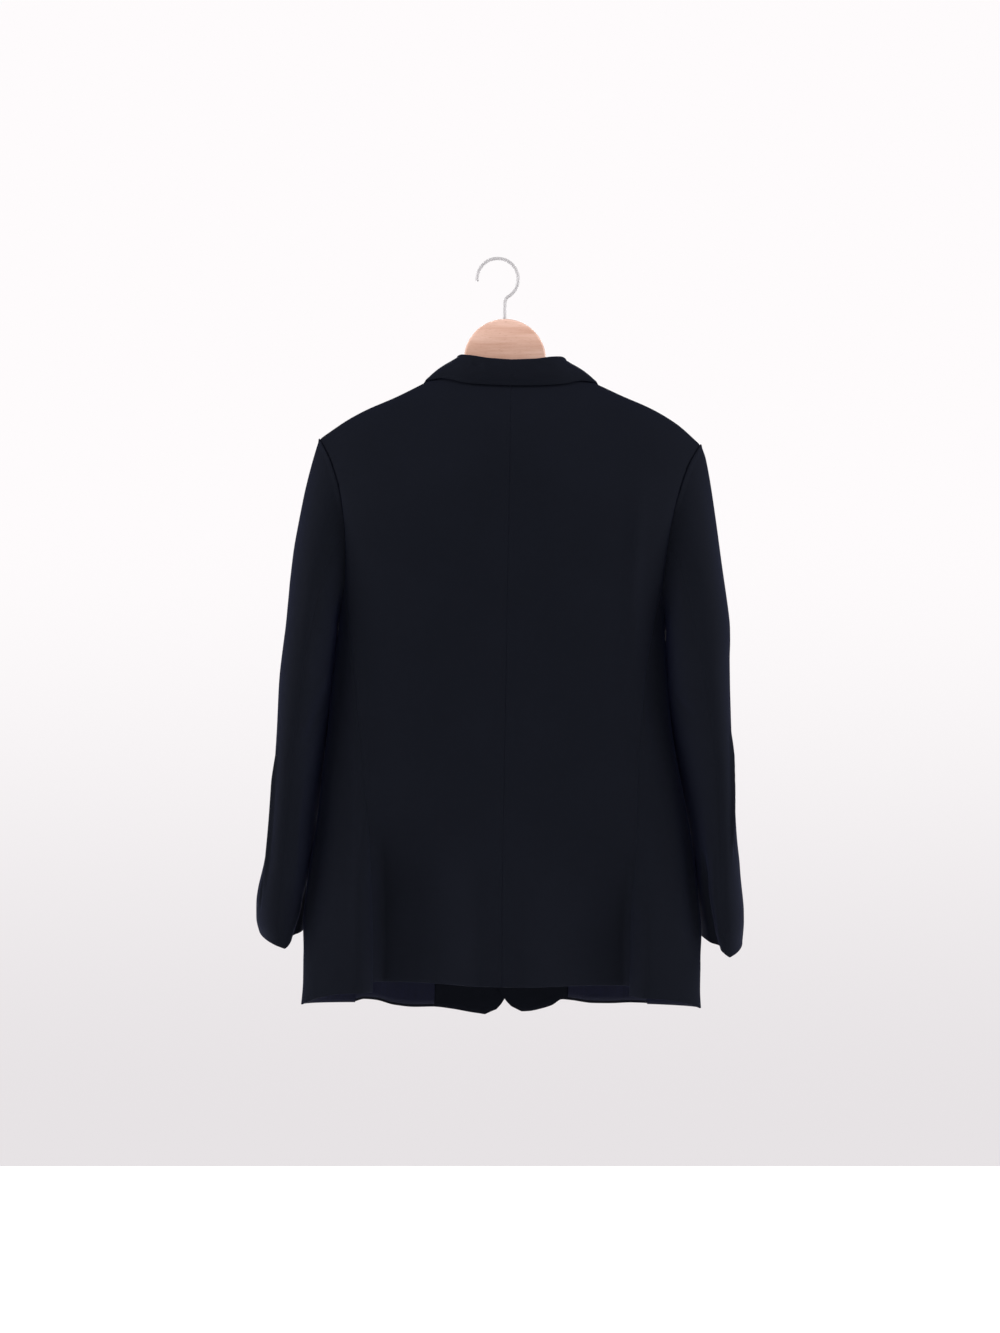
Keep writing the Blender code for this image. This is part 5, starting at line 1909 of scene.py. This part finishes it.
@dataclass(frozen=True)
class Buttonhole:
    """A buttonhole's ring of stitches, laid flat on the cloth."""

    name: str
    point: Array
    normal: Array
    runs: tuple[float, float, float] = (1, 0, 0)
    length: float = 0.019
    width: float = 0.0030
    cord: float = 0.00055

    def seat(self) -> Matrix:
        """Return the matrix that lays the ring on the cloth."""
        normal = Vector(self.normal)
        along = Vector(self.runs)
        along = (along - normal * along.dot(normal)).normalized()
        turn = Matrix((along, normal.cross(along), normal)).transposed().to_4x4()
        spot = Vector(HANG.settle(self.point[None])[0])
        return leaned(BLAZER_OFFSET) @ Matrix.Translation(spot) @ turn

    def build(self, thread: Material) -> None:
        """Add the ring: a small torus, drawn out along the slit."""
        ring = bmesh.new()
        upright = Matrix.Translation((self.width / 2, 0, 0)) @ Matrix.Rotation(math.pi / 2, 4, "X")
        bmesh.ops.create_circle(ring, segments=8, radius=self.cord, matrix=upright)
        bmesh.ops.spin(
            ring, geom=ring.verts[:] + ring.edges[:], axis=(0, 0, 1), cent=(0, 0, 0),
            angle=math.tau, steps=24, use_merge=True,
        )
        for end in (-1, 1):
            half = [vert for vert in ring.verts if vert.co.x * end > 1e-6]
            bmesh.ops.translate(ring, vec=(end * (self.length - self.width) / 2, 0, 0), verts=half)
        piece = dressed(ring, self.name, thread, place=self.seat(), sharp=80)
        add_hard(piece, Slot.WOOL)


@dataclass(frozen=True)
class Fastenings:
    """The buttons with their buttonholes, and the buttonhole of the lapel."""

    pattern: Pattern
    heights: tuple[tuple[str, float], ...] = (("button_upper", -0.567), ("button_lower", -0.677))
    hole_beside: float = 0.007
    lapel_hole: Place = (0.119, -0.263)
    lapel_hole_runs: tuple[float, float, float] = (1, 0, 0.36)

    def build(self, finishes: Finishes) -> None:
        """Add the buttons and buttonholes."""
        for node, height in self.heights:
            Button(node, height, self.pattern).build(finishes)
            beside = np.array([self.hole_beside])
            points, normals = self.pattern.on_front(beside, np.array([height]), Side.LEFT)
            Buttonhole(node + "_hole", points[0], normals[0]).build(finishes.thread)
        lapel = Collar(self.pattern).lapel(Side.LEFT)
        across, height = self.lapel_hole
        far = np.hypot(np.abs(lapel.points[..., 0]) - across, lapel.points[..., 2] - height)
        at = np.unravel_index(np.argmin(far), far.shape)
        hole = Buttonhole("lapel_buttonhole", lapel.points[at], lapel.outward[at], self.lapel_hole_runs)
        hole.build(finishes.thread)


@dataclass(frozen=True)
class Hanger:
    """The wooden hanger: a flat board with a domed neck and sloping arms, and its wire hook."""

    pattern: Pattern
    thickness: float = 0.012
    dome_radius: float = 0.0500
    dome_top: float = -0.0718
    neck_foot: float = -0.130
    neck_side: float = 0.064
    shoulder: float = 0.012
    edge_round: float = 0.0036
    arm_length: float = 0.205
    arm_seat: float = 0.0112
    arm_depth: Place = (0.056, 0.022)
    arm_end: float = 0.195
    wire_radius: float = 0.00195
    bend_radius: float = 0.025
    stem_offset: float = -0.0013
    stem_turn: float = 0.010
    stem_sunk: float = 0.012
    tip_turn: float = math.radians(184)
    tip_rings: Line = ((0.35, 0.94), (0.30, 0.78), (0.20, 0.52), (0.10, 0.20))

    def seat(self, across: float) -> float:
        """Return the height of the hanger's upper edge under the shoulder."""
        return float(self.pattern.form.ridge(across + BLAZER_OFFSET - HANGER_OFFSET)) - self.arm_seat

    def arm_top(self, across: float) -> float:
        """Return the height of the upper edge."""
        if across <= self.dome_radius:
            centre = self.dome_top - self.dome_radius
            return centre + math.sqrt(max(self.dome_radius**2 - across**2, 0))
        join = float(ramp(across, self.dome_radius, self.dome_radius + self.shoulder))
        return self.neck_foot + (self.seat(across) - self.neck_foot) * join

    def arm_bottom(self, across: float) -> float:
        """Return the height of the lower edge."""
        inner, outer = self.arm_depth
        return self.seat(across) - inner + (inner - outer) * float(ramp(across, 0, self.arm_length / 1.1))

    def outline(self) -> list[Place]:
        """Return the board's outline, as distances from its middle and heights."""
        upper = [self.dome_radius * math.sin(math.radians(angle)) for angle in range(0, 90, 3)]
        upper += [self.dome_radius, 0.0515, 0.0535, 0.056, 0.059, self.neck_side]
        upper += [self.neck_side + (self.arm_end - self.neck_side) * i / 24 for i in range(1, 25)]
        half = [(across, self.arm_top(across)) for across in upper]
        middle = (self.arm_top(self.arm_length) + self.arm_bottom(self.arm_length)) / 2
        radius = (self.arm_top(self.arm_end) - self.arm_bottom(self.arm_end)) / 2
        for angle in range(66, -67, -12):
            turn = math.radians(angle)
            out = self.arm_end + 0.0005 + radius * math.cos(turn)
            half.append((out, middle + radius * math.sin(turn)))
        lower = [(self.arm_end - 0.005) * (1 - i / 24) for i in range(25)]
        half += [(across, self.arm_bottom(across)) for across in lower]
        return half + [(-across, height) for across, height in half[-2:0:-1]]

    def build_board(self, wood: Material) -> None:
        """Add the board."""
        board = bmesh.new()
        verts = [board.verts.new((x, -self.thickness / 2, z)) for x, z in self.outline()]
        face = board.faces.new(verts)
        grown = bmesh.ops.extrude_face_region(board, geom=[face])
        raised = of_kind(grown, BMVert)
        bmesh.ops.translate(board, verts=raised, vec=(0, self.thickness, 0))
        board.normal_update()
        rims = [edge for edge in board.edges if abs(edge.verts[0].co.y - edge.verts[1].co.y) < 1e-6]
        bmesh.ops.bevel(
            board, geom=rims, offset=self.edge_round, offset_type="OFFSET", segments=5, profile=0.5,
            affect="EDGES", material=-1, clamp_overlap=True,
        )
        bmesh.ops.triangulate(board, faces=[face for face in board.faces if len(face.verts) > 4])
        piece = dressed(board, "beech_hanger", wood, place=leaned(HANGER_OFFSET), sharp=40)
        add_hard(piece, Slot.BEECH, "hanger_wood")

    def build_hook(self, steel: Material) -> None:
        """Add the hook: a rounded tip, a bend, a short turn back and a stem into the wood."""
        stem = HANGER_OFFSET + self.stem_offset
        reach = self.bend_radius + self.stem_turn
        centre = Vector((0, 0, self.wire_radius - self.bend_radius))
        fall = math.sqrt(reach**2 - (stem + self.stem_turn) ** 2)
        last = -math.asin(fall / reach)
        first = self.tip_turn
        wire = bmesh.new()
        start = centre + Vector((math.cos(first), 0, math.sin(first))) * self.bend_radius
        tangent = Vector((math.sin(first), 0, -math.cos(first)))
        turn = Vector((0, 0, 1)).rotation_difference(tangent).to_matrix().to_4x4()
        upright = Matrix.Translation(start) @ turn
        bmesh.ops.create_circle(wire, segments=20, radius=self.wire_radius, matrix=upright)
        open_end = wire.edges[:]
        tip = open_end
        for rise, share in self.tip_rings:
            grown = bmesh.ops.extrude_edge_only(wire, edges=tip)
            verts = of_kind(grown, BMVert)
            tip = of_kind(grown, BMEdge)
            bmesh.ops.translate(wire, verts=verts, vec=-tangent * rise * self.wire_radius)
            middle = sum((vert.co for vert in verts), Vector()) / len(verts)
            size = sum((vert.co - middle).length for vert in verts) / len(verts)
            shrink = share * self.wire_radius / size
            for vert in verts:
                vert.co = middle + (vert.co - middle) * shrink
        bmesh.ops.contextual_create(wire, geom=tip)
        turn_centre = centre + Vector((stem + self.stem_turn, 0, -fall))
        edges = open_end
        for middle, way, angle, steps in ((centre, 1, first - last, 110), (turn_centre, -1, -last, 24)):
            spun = bmesh.ops.spin(
                wire, geom=edges, cent=middle, axis=(0, way, 0), angle=angle, steps=steps,
            )
            edges = of_kind(spun, BMEdge)
        grown = bmesh.ops.extrude_edge_only(wire, edges=edges)
        for vert in of_kind(grown, BMVert):
            vert.co.z = self.dome_top - self.stem_sunk
        bmesh.ops.contextual_create(wire, geom=of_kind(grown, BMEdge))
        bmesh.ops.remove_doubles(wire, verts=wire.verts[:], dist=1e-7)
        piece = dressed(wire, "steel_hook", steel, place=leaned(0.0), sharp=60)
        add_hard(piece, Slot.STEEL, "hanger_hook")


@dataclass(frozen=True)
class Studio:
    """A pale floor, a pale surround, soft lights and the camera behind the blazer."""

    ground: str = "#fefbfc"
    shade: str = "#e7e3e5"
    fill: float = 0.17
    floor_height: float = -1.59
    floor_reach: float = 3.0
    floor_glow: float = 0.45
    lens: float = 83.2
    distance: float = 3.75
    middle: Place = (0.0024, -0.4947)

    def build_floor(self) -> None:
        """Add the floor."""
        material, tree, shader = new_material("pale_floor")
        place = add_node(tree, "TexCoord", "Object")
        noise = add_node(tree, "TexNoise", "Fac", Vector=place, Scale=1.5, Detail=2.0)
        colour = add_node(tree, "Mix", 2, COLOURS, i0=noise, i6="#f6f6f6", i7="#fafafa")
        fill(
            tree, shader, Base_Color=colour, Roughness=0.9, Emission_Color="#ffffff",
            Emission_Strength=self.floor_glow,
        )
        plane = bmesh.new()
        bmesh.ops.create_grid(plane, x_segments=1, y_segments=1, size=self.floor_reach)
        place = Matrix.Translation((0, 0, self.floor_height))
        dressed(plane, "studio_floor", material, place=place)

    def build_surround(self) -> None:
        """Set the world's pale, even light."""
        world = bpy.data.worlds.new("pale_surround")
        bpy.context.scene.world = world
        world.use_nodes = True
        tree = world.node_tree
        seen = add_node(tree, "LightPath", "Is Camera Ray")
        strength = add_node(tree, "MapRange", Value=seen, To_Min=self.fill, To_Max=1.0)
        way = add_node(tree, "TexCoord", "Generated")
        background = tree.nodes["Background"]
        rise = add_node(tree, "SeparateXYZ", "Z", Vector=way)
        share = add_node(
            tree, "MapRange", 0, {"interpolation_type": "SMOOTHSTEP"}, Value=rise, From_Min=-0.15,
            From_Max=0.05,
        )
        colour = add_node(tree, "Mix", 2, COLOURS, i0=share, i6=self.shade, i7=self.ground)
        fill(tree, background, Color=colour, Strength=strength)

    def add_light(self, name: str, place: Sequence[float], size: Place, watts: float) -> None:
        """Add a soft light that looks at the blazer.

        Args:
            name: Its name.
            place: Where it stands.
            size: Its width and height.
            watts: Its power.
        """
        lamp = bpy.data.lights.new(name, "AREA")
        lamp.shape = "RECTANGLE"
        lamp.size, lamp.size_y = size
        lamp.energy = watts
        light = bpy.data.objects.new(name, lamp)
        light.location = place
        aim = Vector((self.middle[0], 0, self.middle[1])) - light.location
        light.rotation_euler = aim.to_track_quat("-Z", "Y").to_euler()
        bpy.context.collection.objects.link(light)

    def add_camera(self) -> None:
        """Add the camera, level and square to the back."""
        lens = bpy.data.cameras.new("studio_camera")
        lens.lens = self.lens
        lens.sensor_width = 36
        camera = bpy.data.objects.new("studio_camera", lens)
        camera.location = (self.middle[0], -self.distance, self.middle[1])
        camera.rotation_euler = (math.pi / 2, 0, 0)
        bpy.context.collection.objects.link(camera)
        bpy.context.scene.camera = camera

    def build(self) -> None:
        """Add everything round the blazer."""
        self.build_floor()
        self.build_surround()
        self.add_light("left_side", (-2.62, -0.85, 0.45), (1.8, 1.8), 98)
        self.add_light("right_side", (2.62, -0.85, 0.45), (1.8, 1.8), 98)
        self.add_light("back_top", (0.0, -1.3, 1.9), (1.6, 1.0), 28)
        self.add_light("front_middle", (0.0, 2.7, 0.4), (1.6, 1.6), 105)
        self.add_camera()
        bpy.context.scene.view_settings.view_transform = "Standard"


def main() -> None:
    """Build the blazer, its hanger and the studio."""
    logging.basicConfig(level=logging.INFO, format="%(name)s: %(message)s")
    kinds = (Worsted, Satin, Beech, SteelWire, Horn, Thread)
    finishes = Finishes(*[kind().material() for kind in kinds])
    pattern = Pattern()
    Studio().build()
    Blazer(finishes, pattern).build()
    Fastenings(pattern).build(finishes)
    hanger = Hanger(pattern)
    hanger.build_board(finishes.beech)
    hanger.build_hook(finishes.steel)


if __name__ == "__main__":
    main()
